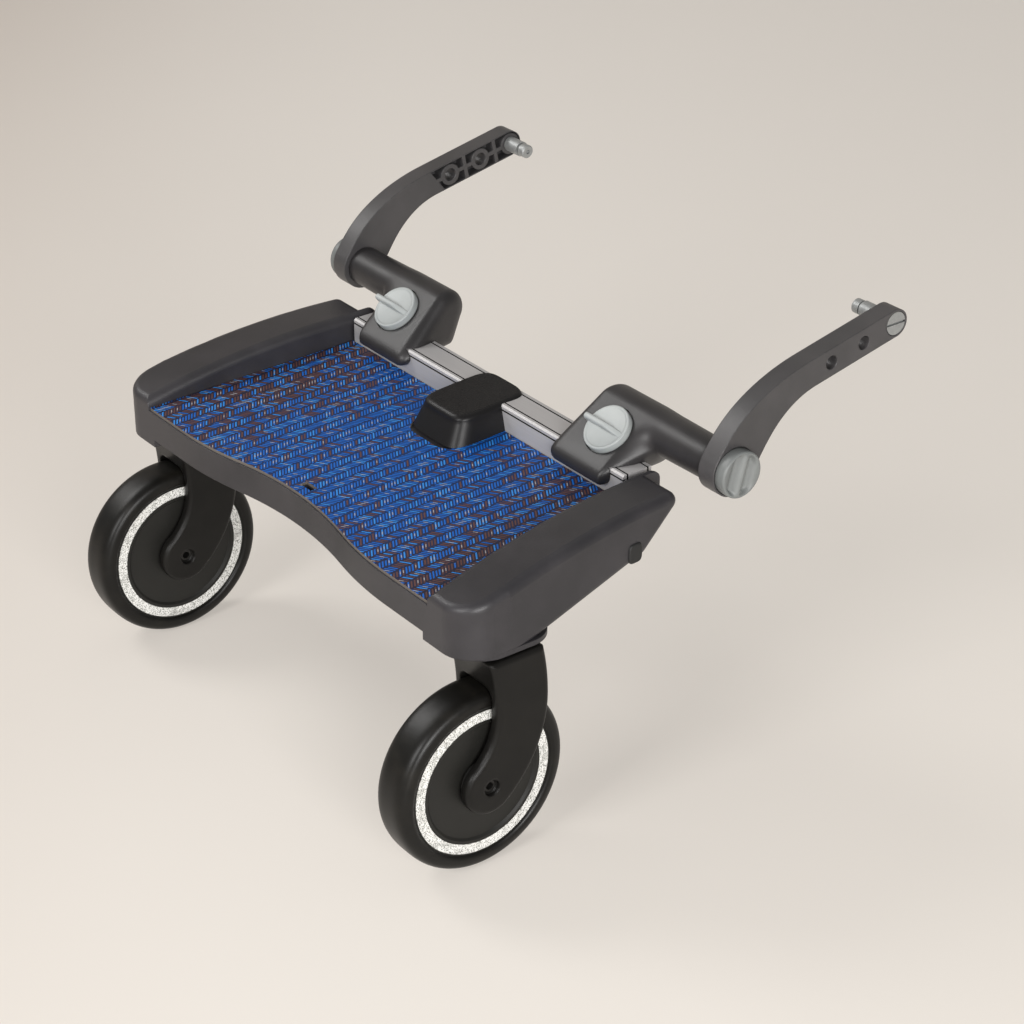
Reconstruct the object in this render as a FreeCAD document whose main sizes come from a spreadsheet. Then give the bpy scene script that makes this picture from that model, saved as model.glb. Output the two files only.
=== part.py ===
"""Buggy board: a stand-on platform on two castors that hooks behind a stroller.

Frame: +Z up from the floor, +X to the board's right, +Y towards the stroller.
The origin lies on the floor, midway along the board's whole length and width.
"""
import FreeCAD, Part
import Sketcher
import math
import os

V = FreeCAD.Vector
X = V(1, 0, 0)
Z = V(0, 0, 1)
TURN = 360.0
doc = FreeCAD.newDocument("BuggyBoard")

SIZES = {
    # Castor wheels
    "tyre_radius": 62.5,
    "tyre_width": 29.0,
    "tyre_crown": 6.0,
    "tyre_section": 11.0,
    "hub_width": 26.0,
    "hub_web": 23.0,
    "hub_boss_radius": 14.0,
    "ring_border": 1.2,
    "ring_width": 6.7,
    "ring_thickness": 0.9,
    "dish_border": 2.1,
    "bush_radius": 6.5,
    "axle_radius": 4.0,
    "axle_bore": 2.6,
    "axle_sink": 3.0,
    "axle_mouth_radius": 5.6,
    "running_gap": 0.05,
    "axle_ahead": 131.75,
    # Forks and swivel
    "castor_offset": 179.0,
    "castor_trail": 21.7,
    "fork_half_width": 22.5,
    "fork_gap": 32.0,
    "fork_depth": 44.4,
    "fork_boss_radius": 19.0,
    "fork_waist": 5.4,
    "fork_nape": 4.0,
    "crown_height": 20.5,
    "arch_gap": 3.5,
    "arch_round": 7.0,
    "fork_round": 3.0,
    "stem_radius": 6.0,
    "stem_seat": 18.0,
    "clip_radius": 10.0,
    "clip_groove_radius": 5.0,
    "clip_thickness": 1.4,
    "clip_height": 26.2,
    "stem_tail": 3.0,
    "washer_thickness": 1.6,
    "washer_radius": 14.0,
    "washer_gap": 0.3,
    "plate_thickness": 3.5,
    "plate_half_width": 20.5,
    "plate_half_length": 32.0,
    "plate_screw_reach": 25.0,
    "barrel_radius": 15.5,
    "barrel_wall": 5.5,
    "barrel_height": 30.0,
    "barrel_fit": 0.2,
    "swivel_bush_radius": 9.0,
    "lower_bush_length": 12.0,
    "upper_bush_length": 9.0,
    "clip_room": 1.6,
    # Deck
    "deck_rear": 32.75,
    "deck_front": 150.85,
    "deck_flare": 13.0,
    "flare_ahead": 116.25,
    "corner_radius": 22.0,
    "front_recess": 12.8,
    "mat_rise_front": 28.0,
    "mat_rise_rear": 39.8,
    "mat_thickness": 2.0,
    "mat_inset": 1.2,
    "well_flare": 13.5,
    "bolster_rise_rear": 56.6,
    "bolster_rise_front": 34.1,
    "bolster_flat": 20.0,
    "bolster_round": 6.0,
    "heel_round": 10.0,
    "heel_run": 38.0,
    "heel_rise": 22.6,
    "belly_ahead": 90.25,
    "deck_plate": 5.0,
    "front_wall_height": 22.5,
    "front_wall": 16.8,
    "rib_thickness": 3.0,
    "slot_length": 12.0,
    "slot_width": 5.0,
    "slot_ahead": 127.45,
    # Mounting rail
    "rail_width": 23.0,
    "rail_height": 20.3,
    "rail_bed_rise": 35.6,
    "rail_bed_thickness": 9.0,
    "rail_bed_depth": 42.0,
    "rail_end_gap": 0.5,
    "rail_wall": 3.2,
    "rail_groove": 1.2,
    "rail_bead": 4.2,
    # Centre block
    "block_half_width": 25.5,
    "block_nose": 36.0,
    "block_corner": 14.0,
    "block_rise": 2.6,
    "block_draft": 12.0,
    "block_round": 3.2,
    "saddle_gap": 0.4,
    # Side plugs
    "plug_radius": 7.0,
    "plug_stem_radius": 4.5,
    "plug_stem_length": 9.0,
    "plug_dome": 2.4,
    "plug_ahead": 14.25,
    "plug_rise": 27.6,
    # Brackets that slide on the rail
    "tube_radius": 13.8,
    "tube_behind": 16.7,
    "tube_above": 15.2,
    "tube_overhang": 6.6,
    "tube_bore": 9.5,
    "bracket_inset": 8.0,
    "bracket_length": 64.0,
    "bracket_crown": 15.0,
    "bracket_slope": 39.0,
    "crown_side_angle": 30.0,
    "crown_belly_angle": 55.0,
    "bracket_front_wall": 7.0,
    "bracket_skirt_front": 13.0,
    "bracket_skirt_rear": 5.3,
    "bracket_rear_wall": 14.0,
    "bracket_round": 6.5,
    "knob_inset": 25.2,
    "knob_radius": 16.5,
    "knob_recess_gap": 0.8,
    "knob_recess_depth": 2.5,
    "knob_proud": 4.2,
    "knob_fin_width": 4.0,
    "knob_fin_height": 5.0,
    "knob_fin_overhang": 2.6,
    "knob_back": 25.7,
    "knob_seat_gap": 0.2,
    "knob_screw_radius": 3.0,
    "knob_screw_length": 9.0,
    "shoe_half_width": 9.0,
    "shoe_half_depth": 8.0,
    "shoe_head": 8.0,
    "shoe_gap": 0.3,
    # Arms
    "arm_thickness": 14.0,
    "arm_gap": 0.4,
    "arm_width": 25.6,
    "arm_boss_radius": 17.2,
    "arm_reach": 132.0,
    "arm_rise": 63.0,
    "arm_knee": 71.0,
    "arm_angle": 12.0,
    "arm_floor": 5.0,
    "arm_rim": 3.4,
    "hole_pitch": 27.8,
    "hole_radius": 4.7,
    "hole_boss": 8.0,
    "recess_margin": 11.5,
    "recess_slant": 4.5,
    "pin_radius": 5.5,
    "pin_tip_radius": 4.9,
    "pin_length": 22.0,
    "pin_relief": 0.5,
    "pin_tip_length": 6.0,
    "pin_groove": 1.6,
    "pin_bore": 2.5,
    "pin_bore_depth": 14.0,
    "pin_head_radius": 7.8,
    "pin_head_thickness": 2.6,
    "pin_slot": 1.6,
    # Arm-end knobs
    "end_knob_radius": 15.6,
    "end_knob_thickness": 6.0,
    "end_knob_sink": 3.0,
    "end_knob_gap": 0.4,
    "end_ridge_width": 4.4,
    "end_ridge_height": 5.0,
    "end_scoop_radius": 11.0,
    "bolt_radius": 3.0,
    "bolt_length": 40.0,
    "insert_length": 18.0,
    "insert_sink": 6.0,
    # Shared fasteners and cutting
    "screw_radius": 1.7,
    "screw_head_radius": 3.2,
    "screw_head_height": 1.5,
    "screw_length": 12.0,
    "overrun": 5.0,
}

sheet = doc.addObject("Spreadsheet::Sheet", "Sizes")
for row, (name, number) in enumerate(SIZES.items(), start=1):
    sheet.set("A%d" % row, name)
    sheet.set("B%d" % row, str(number))
    sheet.setAlias("B%d" % row, name)
doc.recompute()


class Values:
    """The sheet's cells, read back as plain numbers in millimetres."""

    def __getattr__(self, name):
        return float(getattr(sheet, name))


s = Values()
SIDES = {"left": -1, "right": 1}
RIB_COUNT = 6
RAIL_SCREW_STEPS = (-2, -1, 1, 2)
PIN_PLACES = 3

# Heights and places that follow from the driving sizes
hub_radius = s.tyre_radius - s.tyre_section
ring_outer = hub_radius - s.ring_border
ring_inner = ring_outer - s.ring_width
dish_radius = ring_inner - s.dish_border
fork_top = 2 * s.tyre_radius + s.arch_gap + s.crown_height
plate_bottom = fork_top + s.washer_thickness + s.washer_gap
base = plate_bottom + s.plate_thickness
axle_y = -s.axle_ahead
swivel_y = axle_y + s.castor_trail
front_y = -s.deck_front
mat_front_z = base + s.mat_rise_front
mat_rear_z = base + s.mat_rise_rear
mat_slope = (mat_rear_z - mat_front_z) / (s.deck_rear + s.deck_front)
rail_front_y = s.deck_rear - s.rail_width
rail_bottom = base + s.rail_bed_rise
rail_top = rail_bottom + s.rail_height
tube_y = s.deck_rear + s.tube_behind
tube_z = rail_top + s.tube_above

# Half widths and places across the board, all led from the castors
deck_half_front = s.castor_offset + s.barrel_radius + s.barrel_wall
deck_half_rear = deck_half_front - s.deck_flare
well_half_front = s.castor_offset - s.barrel_radius
well_half_rear = well_half_front - s.well_flare
cavity_half = well_half_front - s.barrel_wall
rib_pitch = 2 * cavity_half / (RIB_COUNT + 1)
lobe_share = 0.734
lobe_offset = lobe_share * well_half_front
rail_half = well_half_rear - s.rail_end_gap
rail_screw_share = 0.388
rail_screw_step = rail_screw_share * rail_half
bracket_outer = well_half_rear - s.bracket_inset
bracket_inner = bracket_outer - s.bracket_length
knob_offset = bracket_outer - s.knob_inset
tube_end = deck_half_rear + s.tube_overhang


def mat_z(y):
    """Height of the mat's top face, which falls towards the front."""
    return mat_front_z + (y - front_y) * mat_slope


def outer_x(y):
    """Half width of the deck at a place along its length."""
    flare = (deck_half_front - deck_half_rear) / (s.deck_rear + s.flare_ahead)
    return deck_half_rear + (s.deck_rear - y) * flare


# Modelling helpers
def cell(name):
    return "Sizes." + name


def new_body(label, place=None):
    body = doc.addObject("PartDesign::Body", label)
    body.Label = label
    if place:
        body.Placement = place
    return body


def sketch_on(body, role, name, offset=0.0):
    plane = [f for f in body.Origin.OriginFeatures if f.Role == role][0]
    sketch = body.newObject("Sketcher::SketchObject", name)
    sketch.AttachmentSupport = [(plane, "")]
    sketch.MapMode = "FlatFace"
    sketch.AttachmentOffset = FreeCAD.Placement(V(0, 0, offset), FreeCAD.Rotation())
    return sketch


def draw(sketch, *path):
    """Close a path of points; a pair (middle, end) in it is a round stretch."""
    first = V(*path[0])
    here = first
    for step in path[1:]:
        if isinstance(step[0], tuple):
            there = V(*step[1])
            sketch.addGeometry(Part.ArcOfCircle(here, V(*step[0]), there))
        else:
            there = V(*step)
            sketch.addGeometry(Part.LineSegment(here, there))
        here = there
    if (here - first).Length > 0:
        sketch.addGeometry(Part.LineSegment(here, first))


def corner(before, at, after, radius):
    """A rounded corner of a path: the point where it starts, then its round stretch."""
    here = V(*at)
    back = (V(*before) - here).normalize()
    on = (V(*after) - here).normalize()
    half_angle = back.getAngle(on) / 2
    tangent = radius / math.tan(half_angle)
    inward = (back + on).normalize()
    middle = here + inward * (radius / math.sin(half_angle) - radius)
    start = here + back * tangent
    end = here + on * tangent
    return [(start.x, start.y), ((middle.x, middle.y), (end.x, end.y))]


def ring(sketch, centre, radius):
    sketch.addGeometry(Part.Circle(V(*centre), Z, radius))


def bound_ring(sketch, name, radius_cell):
    """A circle on the sketch's origin whose radius follows a cell."""
    index = sketch.addGeometry(Part.Circle(V(), Z, getattr(s, radius_cell)))
    sketch.addConstraint(Sketcher.Constraint("Coincident", index, 3, -1, 1))
    rule = sketch.addConstraint(Sketcher.Constraint("Radius", index, getattr(s, radius_cell)))
    sketch.renameConstraint(rule, name)
    sketch.setExpression("Constraints." + name, cell(radius_cell))


def pad(body, sketch, length, midplane=False):
    feature = body.newObject("PartDesign::Pad", sketch.Name + "Pad")
    feature.Profile = sketch
    feature.Midplane = midplane
    set_length(feature, length)
    doc.recompute()
    return feature


def set_length(feature, length):
    if isinstance(length, str):
        feature.setExpression("Length", length)
    else:
        feature.Length = length


def pocket(body, sketch, length, midplane=False, reverse=False):
    before = body.Shape.Volume
    feature = body.newObject("PartDesign::Pocket", sketch.Name + "Pocket")
    feature.Profile = sketch
    feature.Midplane = midplane
    feature.Reversed = reverse
    set_length(feature, length)
    doc.recompute()
    if not body.Shape.Volume < before:
        raise RuntimeError("pocket removed nothing: " + sketch.Name)
    return feature


def revolve(body, sketch, kind="PartDesign::Revolution"):
    feature = body.newObject(kind, sketch.Name + "Turn")
    feature.Profile = sketch
    feature.ReferenceAxis = (sketch, ["H_Axis"])
    feature.Angle = TURN
    doc.recompute()
    return feature


def fillet(body, radius_cell, chosen):
    """Round the edges of the body that a test on the edge picks."""
    tip = body.Tip
    names = ["Edge%d" % (i + 1) for i, e in enumerate(tip.Shape.Edges) if chosen(e)]
    feature = body.newObject("PartDesign::Fillet", body.Name + "Fillet")
    feature.Base = (tip, names)
    feature.setExpression("Radius", cell(radius_cell))
    doc.recompute()
    if not feature.isValid():
        raise RuntimeError("rounding failed: " + feature.Name)
    return feature


def cylinder(name, radius, length, start, axis):
    """A plain cylinder; radius and length are cell names or numbers."""
    shape = doc.addObject("Part::Cylinder", name)
    for prop, amount in (("Radius", radius), ("Height", length)):
        if isinstance(amount, str):
            shape.setExpression(prop, amount)
        else:
            setattr(shape, prop, amount)
    shape.Placement = FreeCAD.Placement(start, FreeCAD.Rotation(Z, axis))
    shape.Label = name
    return shape


def cut(label, base_shape, *tools):
    result = base_shape
    for number, tool in enumerate(tools):
        step = doc.addObject("Part::Cut", label + "_cut%d" % number)
        step.Base = result
        step.Tool = tool
        result = step
    result.Label = label
    doc.recompute()
    return result


def fuse(label, *shapes):
    joined = doc.addObject("Part::MultiFuse", label + "_fuse")
    joined.Shapes = list(shapes)
    joined.Label = label
    doc.recompute()
    return joined


def group(label, shapes):
    """Separate solids that share one node, such as a set of screws."""
    set_of = doc.addObject("Part::Compound", label + "_set")
    set_of.Links = shapes
    set_of.Label = label
    doc.recompute()
    return set_of


def sleeve(label, outer, inner, length, start, axis):
    """A plain bush, washer or ring."""
    body = cylinder(label + "_outer", outer, length, start, axis)
    hole = cylinder(label + "_bore", inner, length, start, axis)
    return cut(label, body, hole)


def polar(centre, radius, angle):
    return (centre[0] + radius * math.cos(angle), centre[1] + radius * math.sin(angle))


nodes = {}


def keep(obj):
    nodes[obj.Label] = obj
    return obj


# Castor wheels, their axles and bushes
def wheel(side, sign):
    centre = V(sign * s.castor_offset, axle_y, s.tyre_radius)
    place = FreeCAD.Placement(centre, FreeCAD.Rotation())
    half = s.hub_width / 2
    web = s.hub_web / 2
    sink = half - s.ring_thickness
    bush = s.bush_radius
    hub = new_body("wheel_hub_" + side, place)
    profile = sketch_on(hub, "XY_Plane", "HubProfile_" + side)
    draw(profile, (-half, bush), (-half, s.hub_boss_radius), (-web, s.hub_boss_radius + half - web),
         (-web, dish_radius - half + web), (-half, dish_radius), (-half, ring_inner),
         (-sink, ring_inner), (-sink, ring_outer), (-half, ring_outer), (-half, hub_radius),
         (half, hub_radius), (half, ring_outer), (sink, ring_outer), (sink, ring_inner),
         (half, ring_inner), (half, dish_radius), (web, dish_radius - half + web),
         (web, s.hub_boss_radius + half - web), (half, s.hub_boss_radius), (half, bush))
    revolve(hub, profile)
    keep(hub)
    tyre = new_body("tyre_" + side, place)
    section = sketch_on(tyre, "XY_Plane", "TyreProfile_" + side)
    wide = s.tyre_width / 2
    shoulder = s.tyre_radius - s.tyre_crown
    round_share = math.sqrt(0.5)
    crown_in = wide - s.tyre_crown
    mid_x = crown_in + s.tyre_crown * round_share
    mid_r = shoulder + s.tyre_crown * round_share
    draw(section, (-half, hub_radius), (-wide, shoulder), ((-mid_x, mid_r), (-crown_in, s.tyre_radius)),
         (crown_in, s.tyre_radius), ((mid_x, mid_r), (wide, shoulder)), (half, hub_radius))
    revolve(tyre, section)
    keep(tyre)
    rings = []
    outer = cell("tyre_radius - Sizes.tyre_section - Sizes.ring_border")
    inner = outer + " - Sizes.ring_width"
    for face in (-half, sink):
        start = centre + V(face, 0, 0)
        name = "ring_%s_%d" % (side, len(rings))
        rings.append(sleeve(name, outer, inner, cell("ring_thickness"), start, X))
    keep(group("reflector_rings_" + side, rings))
    keep(sleeve("wheel_bush_" + side, cell("bush_radius"), cell("axle_radius + Sizes.running_gap"),
                cell("hub_width"), centre - V(half, 0, 0), X))
    reach = s.fork_half_width - s.axle_sink
    keep(sleeve("axle_" + side, cell("axle_radius"), cell("axle_bore"),
                "2 * (Sizes.fork_half_width - Sizes.axle_sink)", centre - V(reach, 0, 0), X))


# Forks: two S-curved legs under a crown that takes the swivel stem
def fork(side, sign):
    body = new_body("fork_" + side)
    start = sign * s.castor_offset - s.fork_half_width
    leg = sketch_on(body, "YZ_Plane", "ForkProfile_" + side, start)
    boss = s.fork_boss_radius
    axle = (axle_y, s.tyre_radius)
    front = swivel_y - s.fork_depth / 2
    rear = swivel_y + s.fork_depth / 2

    waist_share = 0.43
    heel_share = 0.6
    waist = (front + s.fork_waist, fork_top - waist_share * (fork_top - axle[1]))
    heel = (rear, axle[1] + heel_share * (fork_top - axle[1]))
    tall = fork_top - waist[1]
    brow_bend = (s.fork_waist ** 2 + tall ** 2) / (2 * s.fork_waist)
    brow = (waist[0] - brow_bend, waist[1])
    across = waist[0] - axle[0]
    above = waist[1] - axle[1]
    neck_bend = (across ** 2 + above ** 2 - boss ** 2) / (2 * (boss + across))
    neck = (waist[0] - neck_bend, waist[1])
    across = heel[0] - axle[0]
    above = heel[1] - axle[1]
    calf_bend = (across ** 2 + above ** 2 - boss ** 2) / (2 * (across - boss))
    calf = (heel[0] - calf_bend, heel[1])
    neck_turn = math.atan2(neck[1] - axle[1], neck[0] - axle[0])
    calf_turn = math.atan2(axle[1] - calf[1], axle[0] - calf[0])
    brow_turn = math.atan2(tall, brow_bend - s.fork_waist)
    over = fork_top - heel[1]
    nape_bend = (s.fork_nape ** 2 + over ** 2) / (2 * s.fork_nape)
    nape = (rear - nape_bend, heel[1])
    nape_turn = math.atan2(over, nape_bend - s.fork_nape)
    low_turn = (neck_turn + calf_turn + 2 * math.pi) / 2
    draw(leg, (front, fork_top), (polar(brow, brow_bend, brow_turn / 2), waist),
         (polar(neck, neck_bend, (neck_turn - math.pi) / 2), polar(axle, boss, neck_turn)),
         (polar(axle, boss, low_turn), polar(axle, boss, calf_turn)),
         (polar(calf, calf_bend, calf_turn / 2), heel),
         (polar(nape, nape_bend, nape_turn / 2), (rear - s.fork_nape, fork_top)))
    pad(body, leg, "2 * Sizes.fork_half_width")
    gap = sketch_on(body, "XY_Plane", "ForkGap_" + side)
    hub = V(sign * s.castor_offset, axle_y, s.tyre_radius)
    gap.AttachmentOffset = FreeCAD.Placement(hub, FreeCAD.Rotation())
    wide = s.fork_gap / 2
    high = s.tyre_radius + s.arch_gap
    left_top = (-wide, high)
    right_top = (wide, high)
    draw(gap, (-wide, 0), *corner((-wide, 0), left_top, right_top, s.arch_round),
         *corner(left_top, right_top, (wide, 0), s.arch_round), (wide, 0))
    revolve(body, gap, kind="PartDesign::Groove")
    bore = sketch_on(body, "YZ_Plane", "AxleBore_" + side, sign * s.castor_offset)
    ring(bore, axle, s.axle_radius)
    pocket(body, bore, "2 * Sizes.fork_half_width", midplane=True)
    for end in (-1, 1):
        mouth = sketch_on(body, "YZ_Plane", "AxleMouth_%s_%d" % (side, end + 1),
                          sign * s.castor_offset + end * s.fork_half_width)
        ring(mouth, axle, s.axle_mouth_radius)
        pocket(body, mouth, cell("axle_sink"), reverse=end < 0)
    seat = sketch_on(body, "XY_Plane", "StemSeat_" + side, fork_top)
    ring(seat, (sign * s.castor_offset, swivel_y), s.stem_radius)
    pocket(body, seat, cell("stem_seat"))
    outer = (sign * s.castor_offset - s.fork_half_width, sign * s.castor_offset + s.fork_half_width)

    def on_face_outline(e):
        box = e.BoundBox
        flat = box.XLength < s.fork_round
        on_face = min(abs(box.XMin - x) for x in outer) < s.running_gap
        mouth_size = 2 * s.axle_mouth_radius + s.fork_round
        return flat and on_face and not (box.YLength < mouth_size and box.ZLength < mouth_size)

    fillet(body, "fork_round", on_face_outline)
    keep(body)


# Swivel: stem, clip and washer turn with the fork; bushes sit in the housing
def swivel(side, sign):
    axis_x = sign * s.castor_offset
    foot = V(axis_x, swivel_y, fork_top - s.stem_seat)
    clip_z = plate_bottom + s.clip_height
    length = clip_z + s.clip_thickness + s.stem_tail - foot.z
    stem = cylinder("stem_" + side + "_rod", cell("stem_radius"), length, foot, Z)
    groove = sleeve("stem_groove_" + side, "2 * Sizes.stem_radius", cell("clip_groove_radius"),
                    cell("clip_thickness"), V(axis_x, swivel_y, clip_z), Z)
    keep(cut("stem_" + side, stem, groove))
    keep(sleeve("stem_clip_" + side, cell("clip_radius"), cell("clip_groove_radius"),
                cell("clip_thickness"), V(axis_x, swivel_y, clip_z), Z))
    keep(sleeve("thrust_washer_" + side, cell("washer_radius"), cell("stem_radius + Sizes.running_gap"),
                cell("washer_thickness"), V(axis_x, swivel_y, fork_top), Z))
    upper_z = clip_z - s.washer_gap - s.upper_bush_length
    bushes = []
    for low, length_cell in ((plate_bottom, "lower_bush_length"), (upper_z, "upper_bush_length")):
        bushes.append(sleeve("bush_%s_%d" % (side, len(bushes)), cell("swivel_bush_radius"),
                             cell("stem_radius + Sizes.running_gap"), cell(length_cell),
                             V(axis_x, swivel_y, low), Z))
    keep(group("swivel_bushes_" + side, bushes))
    body = new_body("castor_housing_" + side)
    plate = sketch_on(body, "XY_Plane", "HousingPlate_" + side, plate_bottom)
    wide = s.plate_half_width
    straight = s.plate_half_length - wide
    draw(plate, (axis_x - wide, swivel_y - straight), ((axis_x, swivel_y - s.plate_half_length),
         (axis_x + wide, swivel_y - straight)), (axis_x + wide, swivel_y + straight),
         ((axis_x, swivel_y + s.plate_half_length), (axis_x - wide, swivel_y + straight)))
    pad(body, plate, cell("plate_thickness"))
    barrel = sketch_on(body, "XY_Plane", "HousingBarrel_" + side, base)
    ring(barrel, (axis_x, swivel_y), s.barrel_radius)
    pad(body, barrel, cell("barrel_height"))
    bore = sketch_on(body, "XY_Plane", "HousingBore_" + side, plate_bottom)
    ring(bore, (axis_x, swivel_y), s.swivel_bush_radius)
    pocket(body, bore, 2 * s.barrel_height, reverse=True)
    room = sketch_on(body, "XY_Plane", "ClipRoom_" + side, clip_z - s.washer_gap)
    ring(room, (axis_x, swivel_y), s.clip_radius + s.clip_room)
    pocket(body, room, s.barrel_height, reverse=True)
    holes = sketch_on(body, "XY_Plane", "HousingHoles_" + side, plate_bottom)
    for end in (-1, 1):
        ring(holes, (axis_x, swivel_y + end * s.plate_screw_reach), s.screw_radius)
    pocket(body, holes, cell("plate_thickness"), reverse=True)
    keep(body)


def screw(name, head_top, axis, length):
    """A pan-head screw: the shank runs from its head's seat along the axis."""
    shank = cylinder(name + "_shank", cell("screw_radius"), length, head_top, axis)
    head = cylinder(name + "_head", cell("screw_head_radius"), cell("screw_head_height"),
                    head_top - axis * s.screw_head_height, axis)
    return fuse(name, shank, head)


# Deck: one moulding with raised side bolsters, ribbed below, and its mat
def front_path(inset):
    """The front edge from right to left: two lobes and a hollow between them."""
    y = front_y + inset
    half = lobe_offset / 2
    bend = (lobe_offset ** 2 + s.front_recess ** 2) / (4 * s.front_recess)
    quarter = lobe_offset / 4
    dip = bend - math.sqrt(bend ** 2 - quarter ** 2)
    deep = y + s.front_recess
    mid = y + s.front_recess / 2
    hollow = (0, deep)
    return [((3 * quarter, y + dip), (half, mid)), (hollow, (-half, mid)),
            ((-3 * quarter, y + dip), (-lobe_offset, y))]


def deck():
    body = new_body("deck")
    side = sketch_on(body, "YZ_Plane", "SideProfile")
    top_rear = base + s.bolster_rise_rear
    top_front = base + s.bolster_rise_front
    arc_start = s.deck_rear - s.bolster_flat
    run = arc_start - front_y
    drop = top_rear - top_front
    bend = (run ** 2 + drop ** 2) / (2 * drop)
    middle = (arc_start - run / 2, top_rear - bend + math.sqrt(bend ** 2 - (run / 2) ** 2))
    heel = (s.deck_rear - s.heel_run, base + s.heel_rise)
    crest = (s.deck_rear, top_rear)
    flat = (arc_start, top_rear)
    belly = (-s.belly_ahead, base)
    draw(side, *corner(heel, crest, flat, s.bolster_round), flat, (middle, (front_y, top_front)),
         (front_y, base), belly, *corner(belly, heel, crest, s.heel_round))
    pad(body, side, 2 * (deck_half_front + s.overrun), midplane=True)
    bed = sketch_on(body, "YZ_Plane", "RailBed")
    bed_low = (s.deck_rear, rail_bottom - s.rail_bed_thickness)
    bed_front = s.deck_rear - s.rail_bed_depth
    draw(bed, *corner(bed_low, crest, flat, s.bolster_round), flat, (arc_start, rail_bottom),
         (bed_front, rail_bottom), (bed_front, heel[1]), bed_low)
    pad(body, bed, 2 * cavity_half, midplane=True)
    outline = sketch_on(body, "XY_Plane", "PlanOutline")
    far = deck_half_front + s.deck_front
    draw(outline, (far, far), (-far, far), (-far, -far), (far, -far))
    draw(outline, *plan_path(0.0))
    pocket(body, outline, 2 * top_rear, reverse=True)
    well_cut(body, well_half_front, well_half_rear)
    fillet(body, "bolster_round", bolster_edge)
    trough = sketch_on(body, "YZ_Plane", "RailTrough")
    front = rail_front_y - s.rail_end_gap
    back = s.deck_rear + s.overrun
    draw(trough, (front, rail_bottom), (back, rail_bottom), (back, top_rear), (front, top_rear))
    pocket(body, trough, 2 * well_half_rear, midplane=True)
    under_cuts(body, heel)
    return keep(body)


def plan_path(inset):
    """Outline of the deck seen from above, drawn in by an inset."""
    rear = s.deck_rear
    turn = s.corner_radius
    side_y = front_y + turn
    wide = deck_half_front - inset
    rear_wide = deck_half_rear - inset
    round_share = 1 - math.sqrt(0.5)
    corner = (wide - turn * round_share, front_y + inset + turn * round_share)
    left_corner = (-corner[0], corner[1])
    return [(rear_wide, rear), (wide, -s.flare_ahead), (wide, side_y + inset),
            (corner, (wide - turn, front_y + inset)), (lobe_offset, front_y + inset),
            *front_path(inset), (-(wide - turn), front_y + inset),
            (left_corner, (-wide, side_y + inset)), (-wide, -s.flare_ahead), (-rear_wide, rear)]


def well_cut(body, front_half, rear_half):
    """Sink the standing area between the bolsters down to the mat's bed."""
    ends = []
    high = rail_top + rail_top - rail_bottom
    for name, y, half in (("WellFront", front_y - s.overrun, front_half),
                          ("WellRear", s.deck_rear + s.overrun, rear_half)):
        sketch = sketch_on(body, "XZ_Plane", name, -y)
        low = mat_z(y) - s.mat_thickness
        draw(sketch, (-half, low), (half, low), (half, high), (-half, high))
        ends.append(sketch)
    before = body.Shape.Volume
    loft = body.newObject("PartDesign::SubtractiveLoft", "StandingWell")
    loft.Profile = ends[0]
    loft.Sections = [ends[1]]
    loft.Ruled = True
    doc.recompute()
    if not body.Shape.Volume < before:
        raise RuntimeError("the standing well removed nothing")


def bolster_edge(e):
    """Long edges along the bolsters' tops and round their ends."""
    box = e.BoundBox
    along = box.YLength > s.bolster_flat / 2 or box.YLength > box.XLength > s.corner_radius / 2
    high = box.ZMin > base + s.bolster_rise_front - s.mat_thickness
    foot = box.ZMax < rail_top and box.YMin > -s.belly_ahead
    return high and along and not foot and abs(box.XMin) > well_half_rear - s.overrun


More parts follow.
